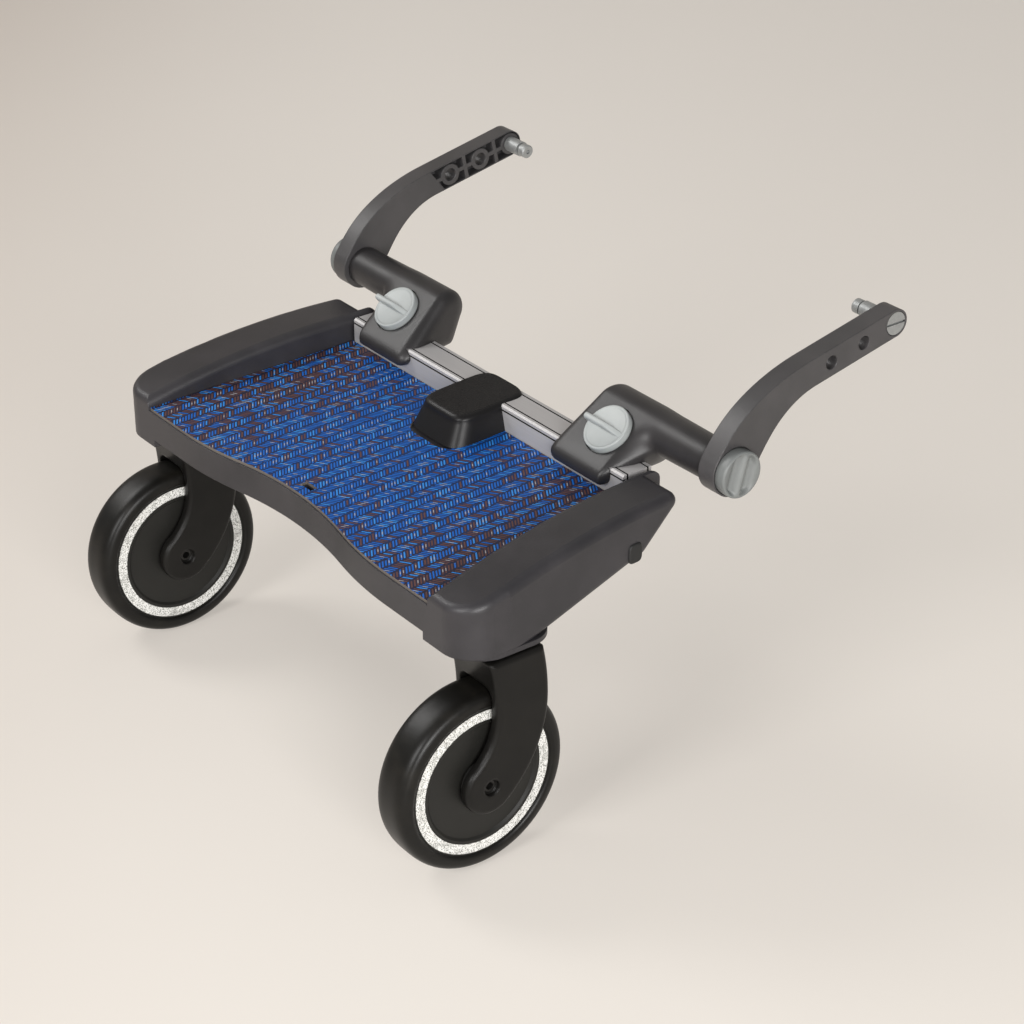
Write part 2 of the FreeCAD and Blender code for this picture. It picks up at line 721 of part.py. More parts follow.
def under_cuts(body, heel):
    """Hollow the underside, leave ribs, and cut the castor seats and the strap slot."""
    hollow = sketch_on(body, "YZ_Plane", "UnderHollow")
    low = base - s.overrun
    wall_y = front_y + s.front_wall
    roof = s.mat_thickness + s.deck_plate
    back_y = s.deck_rear - s.rail_bed_depth
    sill = mat_front_z - s.front_wall_height
    draw(hollow, (front_y - s.overrun, low), (front_y - s.overrun, sill), (wall_y, sill),
         (wall_y, mat_z(wall_y) - roof), (back_y, mat_z(back_y) - roof), (back_y, low))
    pocket(body, hollow, 2 * cavity_half, midplane=True)
    first_rib = -(RIB_COUNT - 1) * rib_pitch / 2 - s.rib_thickness / 2
    rib = sketch_on(body, "YZ_Plane", "Rib", first_rib)
    draw(rib, (wall_y, sill), (wall_y, mat_z(wall_y) - roof / 2), (back_y, mat_z(back_y) - roof / 2),
         (back_y, heel[1]))
    first = pad(body, rib, cell("rib_thickness"))
    row = body.newObject("PartDesign::LinearPattern", "RibRow")
    row.Originals = [first]
    row.Direction = (rib, ["N_Axis"])
    row.Length = (RIB_COUNT - 1) * rib_pitch
    row.Occurrences = RIB_COUNT
    body.Tip = row
    doc.recompute()
    for side, sign in SIDES.items():
        seat = sketch_on(body, "XY_Plane", "BarrelSeat_" + side, base)
        ring(seat, (sign * s.castor_offset, swivel_y), s.barrel_radius + s.barrel_fit)
        pocket(body, seat, s.barrel_height + s.barrel_fit, reverse=True)
        holes = sketch_on(body, "XY_Plane", "PlateHoles_" + side, base)
        for end in (-1, 1):
            ring(holes, (sign * s.castor_offset, swivel_y + end * s.plate_screw_reach), s.screw_radius)
        pocket(body, holes, s.screw_length, reverse=True)
        plug = sketch_on(body, "YZ_Plane", "PlugSeat_" + side, sign * outer_x(-s.plug_ahead))
        ring(plug, (-s.plug_ahead, base + s.plug_rise), s.plug_stem_radius)
        pocket(body, plug, 2 * s.plug_stem_length, midplane=True)
    slot = sketch_on(body, "XY_Plane", "StrapSlot", base)
    draw_slot(slot, -s.slot_ahead)
    pocket(body, slot, rail_top, reverse=True)
    screws = sketch_on(body, "XY_Plane", "RailScrewHoles", rail_bottom)
    for x in RAIL_SCREW_STEPS:
        ring(screws, (x * rail_screw_step, rail_mid()), s.screw_radius)
    pocket(body, screws, s.rail_height, midplane=True)


def rail_mid():
    return s.deck_rear - s.rail_width / 2


def draw_slot(sketch, y):
    half = s.slot_length / 2
    wide = s.slot_width / 2
    draw(sketch, (-half, y - wide), (half, y - wide), (half, y + wide), (-half, y + wide))


def mat():
    body = new_body("deck_mat")
    side = sketch_on(body, "YZ_Plane", "MatProfile")
    back = rail_front_y - s.rail_end_gap
    draw(side, (front_y, mat_z(front_y)), (back, mat_z(back)), (back, mat_z(back) - s.mat_thickness),
         (front_y, mat_z(front_y) - s.mat_thickness))
    pad(body, side, 2 * deck_half_front, midplane=True)
    outline = sketch_on(body, "XY_Plane", "MatOutline")
    far = deck_half_front + s.deck_front
    taper = (well_half_front - well_half_rear) / (s.deck_rear + s.deck_front + 2 * s.overrun)
    front_half = well_half_front - s.overrun * taper - s.mat_inset / 2
    back_half = well_half_rear + (s.deck_rear + s.overrun - back) * taper - s.mat_inset / 2
    edge_y = front_y + s.mat_inset
    draw(outline, (far, far), (-far, far), (-far, -far), (far, -far))
    draw(outline, (back_half, far / 2), (back_half, back), (front_half, edge_y), (lobe_offset, edge_y),
         *front_path(s.mat_inset), (-front_half, edge_y), (-back_half, back), (-back_half, far / 2))
    draw_slot(outline, -s.slot_ahead)
    pocket(body, outline, 2 * rail_top, reverse=True)
    hole = sketch_on(body, "XY_Plane", "BlockSeat", base)
    draw(hole, *block_path(s.saddle_gap, far))
    pocket(body, hole, rail_top, reverse=True)
    return keep(body)


# Mounting rail: a hollow extrusion with a bead along its front top edge
def rail():
    body = new_body("mount_rail")
    section = sketch_on(body, "YZ_Plane", "RailSection", -rail_half)
    groove = s.rail_groove
    bead = s.rail_bead
    rear = s.deck_rear
    front = rail_front_y
    draw(section, (front, rail_bottom), (rear, rail_bottom), (rear, rail_top),
         (rear - 2 * groove, rail_top), (rear - 2 * groove, rail_top - groove),
         (rear - 3 * groove, rail_top - groove), (rear - 3 * groove, rail_top),
         (front + bead, rail_top), (front + bead, rail_top - groove),
         (front + bead - groove, rail_top - groove), (front + bead - groove, rail_top),
         (front + groove, rail_top), (front, rail_top - groove), (front, rail_top - bead + groove),
         (front + groove, rail_top - bead + groove), (front + groove, rail_top - bead),
         (front, rail_top - bead))
    wall = s.rail_wall
    draw(section, (front + wall, rail_bottom + wall), (front + wall, rail_top - bead - wall / 2),
         (rear - wall, rail_top - bead - wall / 2), (rear - wall, rail_bottom + wall))
    pad(body, section, 2 * rail_half)
    holes = sketch_on(body, "XY_Plane", "RailTaps", rail_bottom)
    for x in RAIL_SCREW_STEPS:
        ring(holes, (x * rail_screw_step, rail_mid()), s.screw_radius)
    pocket(body, holes, s.rail_wall, reverse=True)
    return keep(body)


def rail_fixings():
    low = V(0, rail_mid(), rail_bottom - s.rail_bed_thickness)
    screws = []
    for x in RAIL_SCREW_STEPS:
        seat = V(x * rail_screw_step, low.y, bed_under(low.y))
        screws.append(screw("rail_screw_%d" % x, seat, Z, rail_bottom + s.rail_wall - seat.z))
    keep(group("rail_screws", screws))


def bed_under(y):
    """Lower face of the shelf that carries the rail."""
    low = rail_bottom - s.rail_bed_thickness
    rise = low - (base + s.heel_rise)
    return low - rise * (s.deck_rear - y) / s.rail_bed_depth


# Centre block: a drafted moulding with a round nose that straddles the middle of the rail
def block_path(grow, back):
    """Outline of the block's foot, from its right rear corner round the nose to its left."""
    half = s.block_half_width + grow
    nose = -s.block_nose - grow
    turn = s.block_corner + grow
    round_share = 1 - math.sqrt(0.5)
    near = half - turn * round_share
    tip = nose + turn * round_share
    return [(half, back), (half, nose + turn), ((near, tip), (half - turn, nose)), (turn - half, nose),
            ((-near, tip), (-half, nose + turn)), (-half, back)]


def centre_block():
    """The block stands square on the sloping mat bed and is cut to clear the rail."""
    body = new_body("centre_block")
    gap = s.saddle_gap
    tilt = math.atan(mat_slope)
    foot_z = mat_z(0) - s.mat_thickness
    rise = rail_top + s.block_rise - mat_z(s.deck_rear) + s.mat_thickness
    ahead = -s.block_nose - s.overrun
    lip = rail_front_y - gap
    roof = rail_top + gap / 2
    high = 2 * rail_top
    plan = sketch_on(body, "XY_Plane", "BlockPlan")
    plan.AttachmentOffset = FreeCAD.Placement(V(0, 0, foot_z), FreeCAD.Rotation(X, math.degrees(tilt)))
    draw(plan, *block_path(0.0, s.deck_rear + 2 * s.overrun))
    blank = pad(body, plan, rise * math.cos(tilt))
    blank.setExpression("TaperAngle", "-" + cell("block_draft"))
    doc.recompute()

    def top_edge(e):
        level = all(abs(v.Z - foot_z - rise - v.Y * mat_slope) < gap / 2 for v in e.Vertexes)
        return level and e.BoundBox.YMin < s.deck_rear - gap

    fillet(body, "block_round", top_edge)
    side = sketch_on(body, "YZ_Plane", "BlockProfile")
    far = s.deck_rear + high
    draw(side, (far, far), (-far, far), (-far, -far), (far, -far))
    draw(side, (s.deck_rear, high), (ahead, high), (ahead, 0), (lip, 0), (lip, roof), (s.deck_rear, roof))
    pocket(body, side, 4 * s.block_half_width, midplane=True)
    return keep(body)


# Brackets: a saddle block with a sloping face, and the tube that carries the arm
def slope_frame():
    angle = math.radians(s.bracket_slope)
    return V(0, -math.sin(angle), math.cos(angle)), V(0, math.cos(angle), math.sin(angle))


def face_centre(sign):
    """Where the knob's axis meets the bracket's sloping face."""
    normal, along = slope_frame()
    point = V(sign * knob_offset, tube_y, tube_z) + normal * s.bracket_crown
    return point - along * s.knob_back * math.cos(math.radians(s.bracket_slope))


def bracket(side, sign):
    body = new_body("bracket_" + side)
    low_x = min(sign * bracket_inner, sign * bracket_outer)
    profile = sketch_on(body, "YZ_Plane", "BracketProfile_" + side, low_x)
    normal, along = slope_frame()
    crown = s.bracket_crown
    gap = s.saddle_gap
    front = rail_front_y - gap - s.bracket_front_wall
    skirt_front = rail_top - s.bracket_skirt_front
    skirt_rear = rail_top - s.bracket_skirt_rear
    top = (tube_y + normal.y * crown, tube_z + normal.z * crown)
    slope = along.z / along.y
    corner_z = top[1] - (top[0] - front) * slope
    roof = rail_top + gap
    rear = s.deck_rear + gap
    back = rear + s.bracket_rear_wall
    round_side = polar((tube_y, tube_z), crown, math.radians(s.crown_side_angle))
    low = polar((tube_y, tube_z), crown, -math.radians(s.crown_belly_angle))
    draw(profile, top, (round_side, low), (back, skirt_rear), (rear, skirt_rear), (rear, roof),
         (rail_front_y - gap, roof), (rail_front_y - gap, skirt_front), (front, skirt_front),
         (front, corner_z))
    pad(body, profile, cell("bracket_length"))

    def outer_edges(e):
        box = e.BoundBox
        inside = box.YMin > front + gap and box.YMax < rear + gap and box.ZMax < roof + gap
        low_edge = box.ZMax < skirt_rear + gap and box.YMin > front + gap
        bottom = box.ZMax < skirt_front + gap
        nose = abs(box.YMax - front) < gap and abs(box.ZMin - corner_z) < gap
        ends = box.XLength < gap
        return (ends or nose) and not (inside or low_edge or bottom) and box.ZMax > skirt_rear + gap

    fillet(body, "bracket_round", outer_edges)
    shaft = sketch_on(body, "XY_Plane", "BracketTube_" + side)
    shaft.AttachmentOffset = FreeCAD.Placement(V(0, tube_y, tube_z), FreeCAD.Rotation())
    middle = sign * (bracket_inner + bracket_outer) / 2
    end = sign * tube_end
    draw(shaft, (middle, 0), (middle, crown), (end, s.tube_radius), (end, 0))
    revolve(body, shaft)
    bore = sketch_on(body, "YZ_Plane", "TubeBore_" + side, sign * tube_end)
    ring(bore, (tube_y, tube_z), s.tube_bore)
    pocket(body, bore, 2 * s.insert_length + 2 * s.insert_sink, reverse=sign < 0)
    knob_cuts(body, "bracket_" + side, sign)


def slanted(sign, depth):
    """Placement with its Z along the sloping face's normal, sunk by a depth."""
    normal = slope_frame()[0]
    turn = FreeCAD.Rotation(X, s.bracket_slope)
    return FreeCAD.Placement(face_centre(sign) - normal * depth, turn)


def knob_cuts(body, label, sign):
    """Cut the knob's recess, the screw's way and the shoe's pocket."""
    recess = cylinder(label + "_recess", cell("knob_radius + Sizes.knob_recess_gap"),
                      "2 * Sizes.knob_recess_depth", V(), Z)
    recess.Placement = slanted(sign, s.knob_recess_depth)
    way = cylinder(label + "_way", cell("knob_screw_radius + Sizes.running_gap"),
                   "2 * Sizes.knob_screw_length", V(), Z)
    way.Placement = slanted(sign, s.knob_screw_length * 2)
    well = doc.addObject("Part::Box", label + "_well")
    gap = s.shoe_gap
    deep = s.shoe_head + 2 * s.shoe_half_depth
    well.setExpression("Length", "2 * (Sizes.shoe_half_width + Sizes.shoe_gap)")
    well.setExpression("Width", "2 * (Sizes.shoe_half_depth + Sizes.shoe_gap)")
    well.setExpression("Height", "Sizes.shoe_head + 2 * Sizes.shoe_half_depth")
    well.Placement = slanted(sign, s.knob_screw_length + deep - gap).multiply(
        FreeCAD.Placement(V(-s.shoe_half_width - gap, -s.shoe_half_depth - gap, 0), FreeCAD.Rotation()))
    doc.recompute()
    body.Label = label + "_moulding"
    keep(cut(label, body, recess, way, well))


def bracket_fixings(side, sign):
    knob = new_body("bracket_knob_" + side, slanted(sign, s.knob_recess_depth - s.knob_seat_gap))
    disc = sketch_on(knob, "XY_Plane", "KnobDisc_" + side)
    bound_ring(disc, "knob_radius", "knob_radius")
    disc_top = s.knob_recess_depth - s.knob_seat_gap + s.knob_proud
    pad(knob, disc, disc_top)
    fin = sketch_on(knob, "XZ_Plane", "KnobFin_" + side)
    nose = s.knob_fin_width
    tip = -s.knob_radius - s.knob_fin_overhang
    fade_share = 0.78
    fade = fade_share * s.knob_radius
    crest = disc_top + s.knob_fin_height
    low = disc_top - nose / 2
    sunk = (fade, disc_top)
    draw(fin, (tip, low), *corner((tip, low), (tip, crest), sunk, nose), sunk, (fade, low))
    pad(knob, fin, cell("knob_fin_width"), midplane=True)
    keep(knob)
    length = s.knob_screw_length - s.knob_recess_depth
    stud = cylinder("bracket_knob_screw_" + side, cell("knob_screw_radius"), length, V(), Z)
    stud.Placement = slanted(sign, s.knob_screw_length - s.knob_seat_gap)
    keep(stud)
    shoe = doc.addObject("Part::Box", "shoe_blank_" + side)
    deep = s.shoe_head + s.shoe_half_depth
    shoe.setExpression("Length", "2 * Sizes.shoe_half_width")
    shoe.setExpression("Width", "2 * Sizes.shoe_half_depth")
    shoe.setExpression("Height", "Sizes.shoe_head + Sizes.shoe_half_depth")
    shoe.Placement = slanted(sign, s.knob_screw_length + deep).multiply(
        FreeCAD.Placement(V(-s.shoe_half_width, -s.shoe_half_depth, 0), FreeCAD.Rotation()))
    notch = doc.addObject("Part::Box", "shoe_notch_" + side)
    gap = s.shoe_gap
    notch.setExpression("Length", "2 * Sizes.bracket_length")
    notch.setExpression("Width", "2 * Sizes.rail_width")
    notch.setExpression("Height", "2 * Sizes.rail_height")
    notch.Placement.Base = V(sign * knob_offset - s.bracket_length, s.deck_rear + gap - 2 * s.rail_width,
                             rail_top + gap - 2 * s.rail_height)
    keep(cut("clamp_shoe_" + side, shoe, notch))
    keep(sleeve("arm_insert_" + side, cell("tube_bore"), cell("bolt_radius + Sizes.running_gap"),
                cell("insert_length"), V(insert_start(sign), tube_y, tube_z), X))


def insert_start(sign):
    outer = tube_end - s.insert_sink
    return outer - s.insert_length if sign > 0 else -outer


# Arms: a bent strap with a boss at the tube and three pin places at its tip
def arm_points():
    """Centre line: the tube's axis, the knee and the pin, with the bend's centre."""
    angle = math.radians(s.arm_angle)
    run = (math.cos(angle), math.sin(angle))
    pin = (tube_y + s.arm_reach, tube_z + s.arm_rise)
    knee = (pin[0] - s.arm_knee * run[0], pin[1] - s.arm_knee * run[1])
    back = (tube_y - knee[0], tube_z - knee[1])
    down = (run[1], -run[0])
    bend = (back[0] ** 2 + back[1] ** 2) / (2 * (back[0] * down[0] + back[1] * down[1]))
    centre = (knee[0] + bend * down[0], knee[1] + bend * down[1])
    return run, pin, knee, bend, centre


def arm(side, sign):
    run, pin, knee, bend, centre = arm_points()
    half = s.arm_width / 2
    body = new_body("arm_" + side)
    inner = tube_end + s.arm_gap
    low_x = inner if sign > 0 else -inner - s.arm_thickness
    strap = sketch_on(body, "YZ_Plane", "ArmStrap_" + side, low_x)
    start = math.atan2(knee[1] - centre[1], knee[0] - centre[0])
    end = math.atan2(tube_z - centre[1], tube_y - centre[0])
    mid = (start + end) / 2
    up = (-run[1], run[0])
    tip = (pin[0] + half * run[0], pin[1] + half * run[1])
    root = s.arm_boss_radius
    swell_share = 0.4
    waist = half + swell_share * (root - half)
    draw(strap, polar(centre, bend + root, end),
         (polar(centre, bend + waist, mid), polar(centre, bend + half, start)),
         (pin[0] + half * up[0], pin[1] + half * up[1]),
         (tip, (pin[0] - half * up[0], pin[1] - half * up[1])), polar(centre, bend - half, start),
         (polar(centre, bend - waist, mid), polar(centre, bend - root, end)))
    pad(body, strap, cell("arm_thickness"))
    boss = sketch_on(body, "YZ_Plane", "ArmBoss_" + side, low_x)
    ring(boss, (tube_y, tube_z), s.arm_boss_radius)
    pad(body, boss, cell("arm_thickness"))
    outer_x_face = low_x + s.arm_thickness if sign > 0 else low_x
    inner_x_face = low_x if sign > 0 else low_x + s.arm_thickness
    well = sketch_on(body, "YZ_Plane", "ArmWell_" + side, inner_x_face)
    rim = half - s.arm_rim
    places = []
    for n in range(PIN_PLACES):
        places.append((pin[0] - n * s.hole_pitch * run[0], pin[1] - n * s.hole_pitch * run[1]))

    def spot(back, side_step):
        """A point of the arm's face: so far back from the pin and so far up across the strap."""
        return (pin[0] - back * run[0] + side_step * up[0], pin[1] - back * run[1] + side_step * up[1])

    long = (PIN_PLACES - 1) * s.hole_pitch + s.recess_margin
    slant = s.recess_slant
    draw(well, spot(long + slant, rim), spot(0, rim), (spot(-rim, 0), spot(0, -rim)),
         spot(long - slant, -rim))
    for place in places:
        ring(well, place, s.hole_boss)
    pocket(body, well, "Sizes.arm_thickness - Sizes.arm_floor", reverse=sign > 0)
    web = sketch_on(body, "YZ_Plane", "ArmRib_" + side, inner_x_face)
    thin = s.rib_thickness / 2
    reach = rim + s.arm_rim / 2
    far = long + s.arm_rim
    draw(web, spot(far, thin), spot(0, thin), spot(0, -thin), spot(far, -thin))
    cross = sketch_on(body, "YZ_Plane", "ArmCross_" + side, inner_x_face)
    for n in range(1, PIN_PLACES):
        between = (n - 1 / 2) * s.hole_pitch
        draw(cross, spot(between + thin, reach), spot(between - thin, reach), spot(between - thin, -reach),
             spot(between + thin, -reach))
    for sketch in (web, cross):
        rib = pad(body, sketch, "Sizes.arm_thickness - Sizes.arm_floor")
        rib.Reversed = sign < 0
        doc.recompute()
    holes = sketch_on(body, "YZ_Plane", "ArmHoles_" + side, low_x)
    for place in places:
        ring(holes, place, s.hole_radius)
    ring(holes, (tube_y, tube_z), s.bolt_radius + s.running_gap)
    pocket(body, holes, cell("arm_thickness"), reverse=True)
    seats = sketch_on(body, "YZ_Plane", "ArmSeats_" + side, outer_x_face)
    ring(seats, (tube_y, tube_z), s.end_knob_radius + s.end_knob_gap)
    pocket(body, seats, cell("end_knob_sink"), reverse=sign < 0)
    head = sketch_on(body, "YZ_Plane", "ArmHeadSeat_" + side, outer_x_face)
    ring(head, places[0], s.pin_head_radius + s.saddle_gap)
    pocket(body, head, cell("pin_head_thickness"), reverse=sign < 0)
    keep(body)
    arm_fixings(side, sign, places[0], outer_x_face, inner_x_face)


def arm_fixings(side, sign, pin, outer_face, inner_face):
    out = V(sign, 0, 0)
    root = V(inner_face, pin[0], pin[1])
    tip_x = root - out * s.pin_length
    seat = s.arm_thickness - s.pin_head_thickness
    body = new_body("coupling_pin_" + side, FreeCAD.Placement(tip_x, FreeCAD.Rotation(X, out)))
    section = sketch_on(body, "XY_Plane", "PinSection_" + side)
    neck = s.pin_tip_radius - s.pin_groove
    groove_at = s.pin_tip_length
    chamfer = s.pin_groove / 2
    whole = s.pin_length + seat
    shoulder = s.pin_length - s.pin_relief
    draw(section, (0, s.pin_groove), (0, s.pin_tip_radius - chamfer), (chamfer, s.pin_tip_radius),
         (groove_at, s.pin_tip_radius), (groove_at, neck), (groove_at + s.pin_groove, neck),
         (groove_at + s.pin_groove, s.pin_radius), (shoulder, s.pin_radius), (shoulder, s.hole_radius),
         (whole, s.hole_radius), (whole, s.pin_bore),
         (whole - s.pin_bore_depth, s.pin_bore), (whole - s.pin_bore_depth, 0), (s.pin_groove, 0),
         (s.pin_groove, s.pin_groove))
    revolve(body, section)
    keep(body)
    face = V(outer_face, pin[0], pin[1])
    head = cylinder("pin_head_" + side, cell("pin_head_radius"), cell("pin_head_thickness"),
                    face - out * s.pin_head_thickness, out)
    shank = cylinder("pin_shank_" + side, cell("pin_bore"), s.pin_bore_depth - s.pin_groove,
                     face - out * (s.pin_head_thickness + s.pin_bore_depth - s.pin_groove), out)
    blank = fuse("pin_screw_blank_" + side, head, shank)
    slot = doc.addObject("Part::Box", "pin_slot_" + side)
    slot.setExpression("Length", cell("pin_slot"))
    slot.setExpression("Width", "2 * Sizes.pin_head_radius")
    slot.setExpression("Height", cell("pin_slot"))
    slot.Placement.Base = V(min(outer_face, outer_face - sign * s.pin_slot), pin[0] - s.pin_head_radius,
                            pin[1] - s.pin_slot / 2)
    keep(cut("pin_screw_" + side, blank, slot))
    knob = new_body("arm_knob_" + side)
    turn = FreeCAD.Rotation(Z, out)
    back = V(outer_face, tube_y, tube_z) - out * (s.end_knob_sink - s.end_knob_gap)
    knob.Placement = FreeCAD.Placement(back, turn)
    disc = sketch_on(knob, "XY_Plane", "EndDisc_" + side)
    bound_ring(disc, "end_knob_radius", "end_knob_radius")
    pad(knob, disc, "Sizes.end_knob_thickness + Sizes.end_ridge_height")
    scoops = sketch_on(knob, "YZ_Plane", "EndScoops_" + side)
    scoop = s.end_scoop_radius
    beside = s.end_ridge_width / 2 + math.sqrt(scoop ** 2 - (scoop - s.end_ridge_height) ** 2)
    for way in (-1, 1):
        ring(scoops, (way * beside, s.end_knob_thickness + scoop), scoop)
    pocket(knob, scoops, 4 * s.end_knob_radius, midplane=True)
    keep(knob)
    bolt = cylinder("arm_bolt_" + side, cell("bolt_radius"), cell("bolt_length"),
                    back - out * s.bolt_length, out)
    keep(bolt)


def side_plug(side, sign):
    face = sign * outer_x(-s.plug_ahead)
    turn = FreeCAD.Rotation(X, V(sign, 0, 0))
    place = FreeCAD.Placement(V(face, -s.plug_ahead, base + s.plug_rise), turn)
    body = new_body("side_plug_" + side, place)
    section = sketch_on(body, "XY_Plane", "PlugSection_" + side)
    dome = s.plug_dome
    lean = (outer_x(-s.plug_ahead - s.plug_radius) - outer_x(-s.plug_ahead)) + s.running_gap
    round_share = math.sqrt(0.5)
    draw(section, (-s.plug_stem_length, 0), (-s.plug_stem_length, s.plug_stem_radius),
         (lean, s.plug_stem_radius), (lean, s.plug_radius), (lean + dome / 2, s.plug_radius),
         ((lean + dome * (1 + round_share) / 2, s.plug_radius - dome * (1 - round_share) / 2),
          (lean + dome, s.plug_radius - dome / 2)), (lean + dome, 0))
    revolve(body, section)
    keep(body)


deck()
mat()
rail()
rail_fixings()
centre_block()
housing_screws = []
for side, sign in SIDES.items():
    wheel(side, sign)
    fork(side, sign)
    swivel(side, sign)
    side_plug(side, sign)
    bracket(side, sign)
    bracket_fixings(side, sign)
    arm(side, sign)
    for end in (-1, 1):
        seat = V(sign * s.castor_offset, swivel_y + end * s.plate_screw_reach, plate_bottom)
        housing_screws.append(screw("housing_screw_%s_%d" % (side, end + 1), seat, Z, s.screw_length))
keep(group("housing_screws", housing_screws))

doc.recompute()
for obj in doc.Objects:
    if "Invalid" in obj.State or "Error" in obj.State:
        raise RuntimeError("failed object: " + obj.Name)
for label, obj in nodes.items():
    if obj.Shape.isNull() or not obj.Shape.isValid():
        raise RuntimeError("bad shape: " + label)
os.makedirs("parts", exist_ok=True)
for label, obj in nodes.items():
    obj.Shape.exportStep("parts/%s.step" % label)
print("wrote %d parts" % len(nodes))
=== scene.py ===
"""Looks of a buggy board: a stand-on platform on two castors that hooks behind a stroller.

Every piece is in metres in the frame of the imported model: +X right, +Y towards the stroller, +Z up.
"""
import bmesh
import bpy
import math
import numpy as np
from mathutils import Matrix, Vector


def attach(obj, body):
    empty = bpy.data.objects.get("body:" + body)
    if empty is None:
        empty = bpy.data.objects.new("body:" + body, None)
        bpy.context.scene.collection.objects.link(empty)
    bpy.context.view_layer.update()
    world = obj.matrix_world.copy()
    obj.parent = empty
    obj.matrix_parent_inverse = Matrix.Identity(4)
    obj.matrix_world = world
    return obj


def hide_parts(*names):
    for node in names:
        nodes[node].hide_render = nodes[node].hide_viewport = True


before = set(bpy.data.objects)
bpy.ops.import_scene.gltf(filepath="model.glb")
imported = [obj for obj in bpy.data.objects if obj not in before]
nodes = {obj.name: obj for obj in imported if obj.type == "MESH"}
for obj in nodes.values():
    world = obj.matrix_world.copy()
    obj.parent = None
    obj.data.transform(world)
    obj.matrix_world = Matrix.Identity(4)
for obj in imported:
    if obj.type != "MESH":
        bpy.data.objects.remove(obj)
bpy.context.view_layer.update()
SIDES = {"left": -1.0, "right": 1.0}


# Castor wheels: a moulded hub disc with a solid rubber tyre shrunk on, and a reflective
# band set into a shallow step on each face. The disc is dull black, the tyre polished by use.
class Tone:
    """One output of a shader node; arithmetic on it adds Math nodes to the same finish."""

    def __init__(self, finish, out):
        self.finish = finish
        self.out = out

    def maths(self, kind, *values):
        return self.finish.node("Math", {"operation": kind}, *values)

    def __add__(self, other):
        return self.maths("ADD", self, other)

    def __mul__(self, other):
        return self.maths("MULTIPLY", self, other)

    def __sub__(self, other):
        return self.maths("SUBTRACT", self, other)

    def __rsub__(self, other):
        return self.maths("SUBTRACT", other, self)

    def __truediv__(self, other):
        return self.maths("DIVIDE", self, other)

    def __gt__(self, other):
        return self.maths("GREATER_THAN", self, other)

    def __lt__(self, other):
        return self.maths("LESS_THAN", self, other)

    def __mod__(self, other):
        return self.maths("FLOORED_MODULO", self, other)

    def __abs__(self):
        return self.maths("ABSOLUTE", self)

    __radd__ = __add__
    __rmul__ = __mul__

    def floor(self):
        return self.maths("FLOOR", self)

    def step(self, low, high):
        """A soft step from 0 at low to 1 at high."""
        return self.finish.node("MapRange", {"interpolation_type": "SMOOTHSTEP"}, self, low, high, 0.0, 1.0)


class Finish:
    """A material with its Principled shader and short ways to add nodes to it."""

    def __init__(self, name, **values):
        self.material = bpy.data.materials.new(name)
        self.material.use_nodes = True
        self.tree = self.material.node_tree
        self.shader = self.tree.nodes["Principled BSDF"]
        self.set(**values)

    def node(self, kind, settings=None, *values, out=0, **named):
        """Adds a node: its settings first, then its sockets in order or by name."""
        made = self.tree.nodes.new("ShaderNode" + kind)
        for key, value in (settings or {}).items():
            setattr(made, key, value)
        for place, value in [*enumerate(values), *named.items()]:
            self.put(made.inputs[place], value)
        return Tone(self, made.outputs[out])

    def put(self, socket, value):
        if isinstance(value, Tone):
            self.tree.links.new(value.out, socket)
        else:
            socket.default_value = value

    def set(self, **values):
        """Sets or links the shader's own sockets; an underscore stands for a space."""
        for name, value in values.items():
            self.put(self.shader.inputs[name.replace("_", " ")], value)

    def place(self):
        return self.node("TexCoord", out="Object")

    def split(self, vector):
        """A vector's X, Y and Z as three values."""
        made = self.node("SeparateXYZ", None, vector).out.node
        return [Tone(self, made.outputs[k]) for k in range(3)]

    def axes(self):
        return self.split(self.place())

    def facing_up(self):
        """How far the surface faces up, from -1 to 1."""
        return self.split(self.node("NewGeometry", out="Normal"))[2]

    def noise(self, scale, detail=3.0, where=None, roughness=0.55):
        return self.node("TexNoise", None, Vector=where or self.place(), Scale=scale, Detail=detail,
                         Roughness=roughness)

    def mix(self, share, low, high):
        """A colour from low to high by a share."""
        made = self.tree.nodes.new("ShaderNodeMix")
        made.data_type = "RGBA"
        for place, value in ((0, share), (6, low), (7, high)):
            self.put(made.inputs[place], value)
        return Tone(self, made.outputs[2])

    def bump(self, height, strength, depth, edge=0.0):
        """Fine relief; an edge radius also softens the corners, as a mould's radii do."""
        relief = {"Height": height, "Strength": strength, "Distance": depth}
        if edge:
            relief["Normal"] = self.node("Bevel", {"samples": 6}, Radius=edge)
        self.set(Normal=self.node("Bump", None, **relief))


def rgb(red, green, blue):
    """A colour written in display values from 0 to 255, as the shader's linear values."""
    share = np.array([red, green, blue]) / 255
    linear = np.where(share <= 0.04045, share / 12.92, ((share + 0.055) / 1.055) ** 2.4)
    return (*linear.tolist(), 1.0)


def dress(finish, *names):
    """Gives CAD nodes a finish."""
    for name in names:
        shown = nodes[name]
        if shown.material_slots:
            for slot in shown.material_slots:
                slot.material = finish.material
        else:
            shown.data.materials.append(finish.material)


def both(name):
    """The names of a node's left and right copies."""
    return [name + "_left", name + "_right"]


def full_turn(count):
    """Evenly spaced angles round a circle; the last stops one step short of the first."""
    return np.linspace(0.0, 2 * math.pi, count, endpoint=False)


def flattened(wave, power):
    """A wave raised to a power with its sign kept: below 1 its crests flatten, as in a superellipse."""
    return np.sign(wave) * np.abs(wave) ** power


